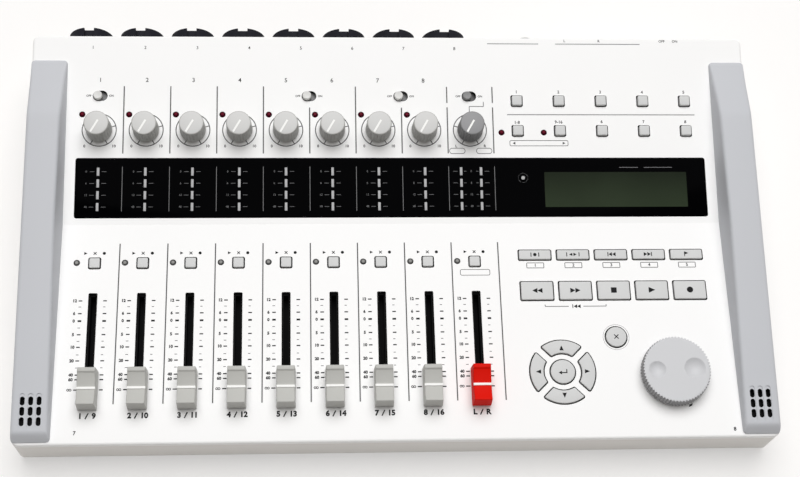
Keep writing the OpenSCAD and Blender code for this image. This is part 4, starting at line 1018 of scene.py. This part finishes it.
caps("menu_key_caps", "menu_keys", [oblong(x, s, KEY, KEY, KEY_R) for s in MENU_S for x in MENU_X], MENU_UP)
caps("enter_key_cap", "enter_key", [disc(*ENTER, ENTER_R)])
caps("exit_key_cap", "exit_key", [disc(*EXIT, EXIT_R)])
caps("cursor_key_caps", "cursor_keys",
     [quarter(*ENTER, CURSOR_IN, CURSOR_OUT, CURSOR_GAP, CURSOR_R, turn) for turn in CURSOR_TURNS])
sign = bmesh.new()
for turn in CURSOR_TURNS:
    x, s = ENTER[0] + CURSOR_SIGN_R * math.cos(turn), ENTER[1] + CURSOR_SIGN_R * math.sin(turn)
    wedge(sign, x, s, 2.2, 2.6, math.degrees(turn), KEY_UP)
print_sign("cursor_key_signs", sign, "cursor_keys")
sign = bmesh.new()
x, s = ENTER[0], ENTER[1] - 0.6
line(sign, (x + 1.9, s + 1.8), (x + 1.9, s), 0.5, KEY_UP)
line(sign, (x + 2.15, s), (x - 0.6, s), 0.5, KEY_UP)
wedge(sign, x - 1.4, s, 1.9, 1.7, 180, KEY_UP)
print_sign("enter_key_sign", sign, "enter_key")
sign = bmesh.new()
cross(sign, *EXIT, 1.1, BAR_W, KEY_UP)
print_sign("exit_key_sign", sign, "exit_key")

# Sockets: black nylon input sockets along the rear wall, steel-ringed headphone and output sockets,
# the headphone knob, the power inlet and its slide button, and the card and data sockets in the right
# wall. The sockets are soldered to the boards and reach out through the case.
socket_black = moulded("socket_black", (24, 24, 31), 0.6, drift=0.1, Specular_IOR_Level=0.1)
dress("combo_jacks", socket_black)
dress("phone_jacks", plated_steel)
dress("dc_inlet", black_plastic)
dress("power_switch", black_plastic)
dress("usb_sockets", plated_steel)
dress("card_socket", plated_steel)
dress("phones_knob", black_plastic)

# Studio: a white table top and surround with one wide soft lamp above and behind the recorder,
# seen by a camera that looks down from the front left, rolled a little.
AMBIENT, GLOW_SHARE, TABLE_HALF = 0.2, 0.45, 4.0
WHITE = (1, 1, 1, 1)
LAMP_AT, LAMP_SIZE, LAMP_POWER = Vector((0.1, 1.2, 3.25)), 3.4, 118.0
CAMERA_AT = as_is(-47.218, BEND_Y - 298.815, 744.917)
FORWARD = Vector((0.0637356, 0.3749587, -0.9248480))
UP = Vector((0.0040580, 0.9266271, 0.3759597))


def bare_tree(holder):
    """The emptied node tree of a world or a material."""
    holder.use_nodes = True
    holder.node_tree.nodes.clear()
    return Wire(holder.node_tree)


def seen_directly(wire):
    """1 for rays from the camera, and for those that gloss or glass send on."""
    seen = wire.add("ShaderNodeLightPath", out="Is Camera Ray")
    shone = wire.add("ShaderNodeLightPath", out="Is Glossy Ray")
    passed = wire.add("ShaderNodeLightPath", out="Is Transmission Ray")
    return wire.math("MAXIMUM", wire.math("MAXIMUM", seen, shone), passed)


surround = bpy.data.worlds.new("white_surround")
scene.world = surround
wire = bare_tree(surround)
room = wire.add("ShaderNodeBackground", None, {"Color": tone(255, 250, 244), "Strength": AMBIENT})
white = wire.add("ShaderNodeBackground", None, {"Color": WHITE, "Strength": 1.0})
both = wire.add("ShaderNodeMixShader", None, {0: seen_directly(wire), 1: room, 2: white})
wire.add("ShaderNodeOutputWorld", None, {"Surface": both})

table = bpy.data.materials.new("table_white")
wire = bare_tree(table)
paper = wire.add("ShaderNodeBsdfDiffuse", None, {"Color": tone(255, 253, 251)})
glow = wire.add("ShaderNodeEmission", None, {"Color": WHITE, "Strength": 1.0})
lit = wire.add("ShaderNodeMixShader", None, {0: seen_directly(wire) * GLOW_SHARE, 1: paper, 2: glow})
wire.add("ShaderNodeOutputMaterial", None, {"Surface": lit})
floor_mesh = bpy.data.meshes.new("table_top")
floor_corners = [(TABLE_HALF * x, TABLE_HALF * y, 0) for x, y in ((-1, -1), (1, -1), (1, 1), (-1, 1))]
floor_mesh.from_pydata(floor_corners, [], [(0, 1, 2, 3)])
floor_mesh.materials.append(table)
floor = bpy.data.objects.new("table_top", floor_mesh)
scene.collection.objects.link(floor)

light = bpy.data.lights.new("overhead_lamp", "AREA")
light.shape = "DISK"
light.size = LAMP_SIZE
light.energy = LAMP_POWER
overhead = bpy.data.objects.new("overhead_lamp", light)
overhead.location = LAMP_AT
overhead.rotation_euler = (-LAMP_AT).to_track_quat("-Z", "Y").to_euler()
scene.collection.objects.link(overhead)

view = bpy.data.cameras.new("front_left_view")
view.sensor_fit = "HORIZONTAL"
view.sensor_width = 36.0
view.lens = 68.08
camera = bpy.data.objects.new("front_left_view", view)
across = FORWARD.cross(UP).normalized()
aim = Matrix((across, UP, -FORWARD)).transposed()
camera.matrix_world = Matrix.Translation(CAMERA_AT) @ aim.to_4x4()
scene.collection.objects.link(camera)
scene.camera = camera

scene.view_settings.view_transform = "Standard"
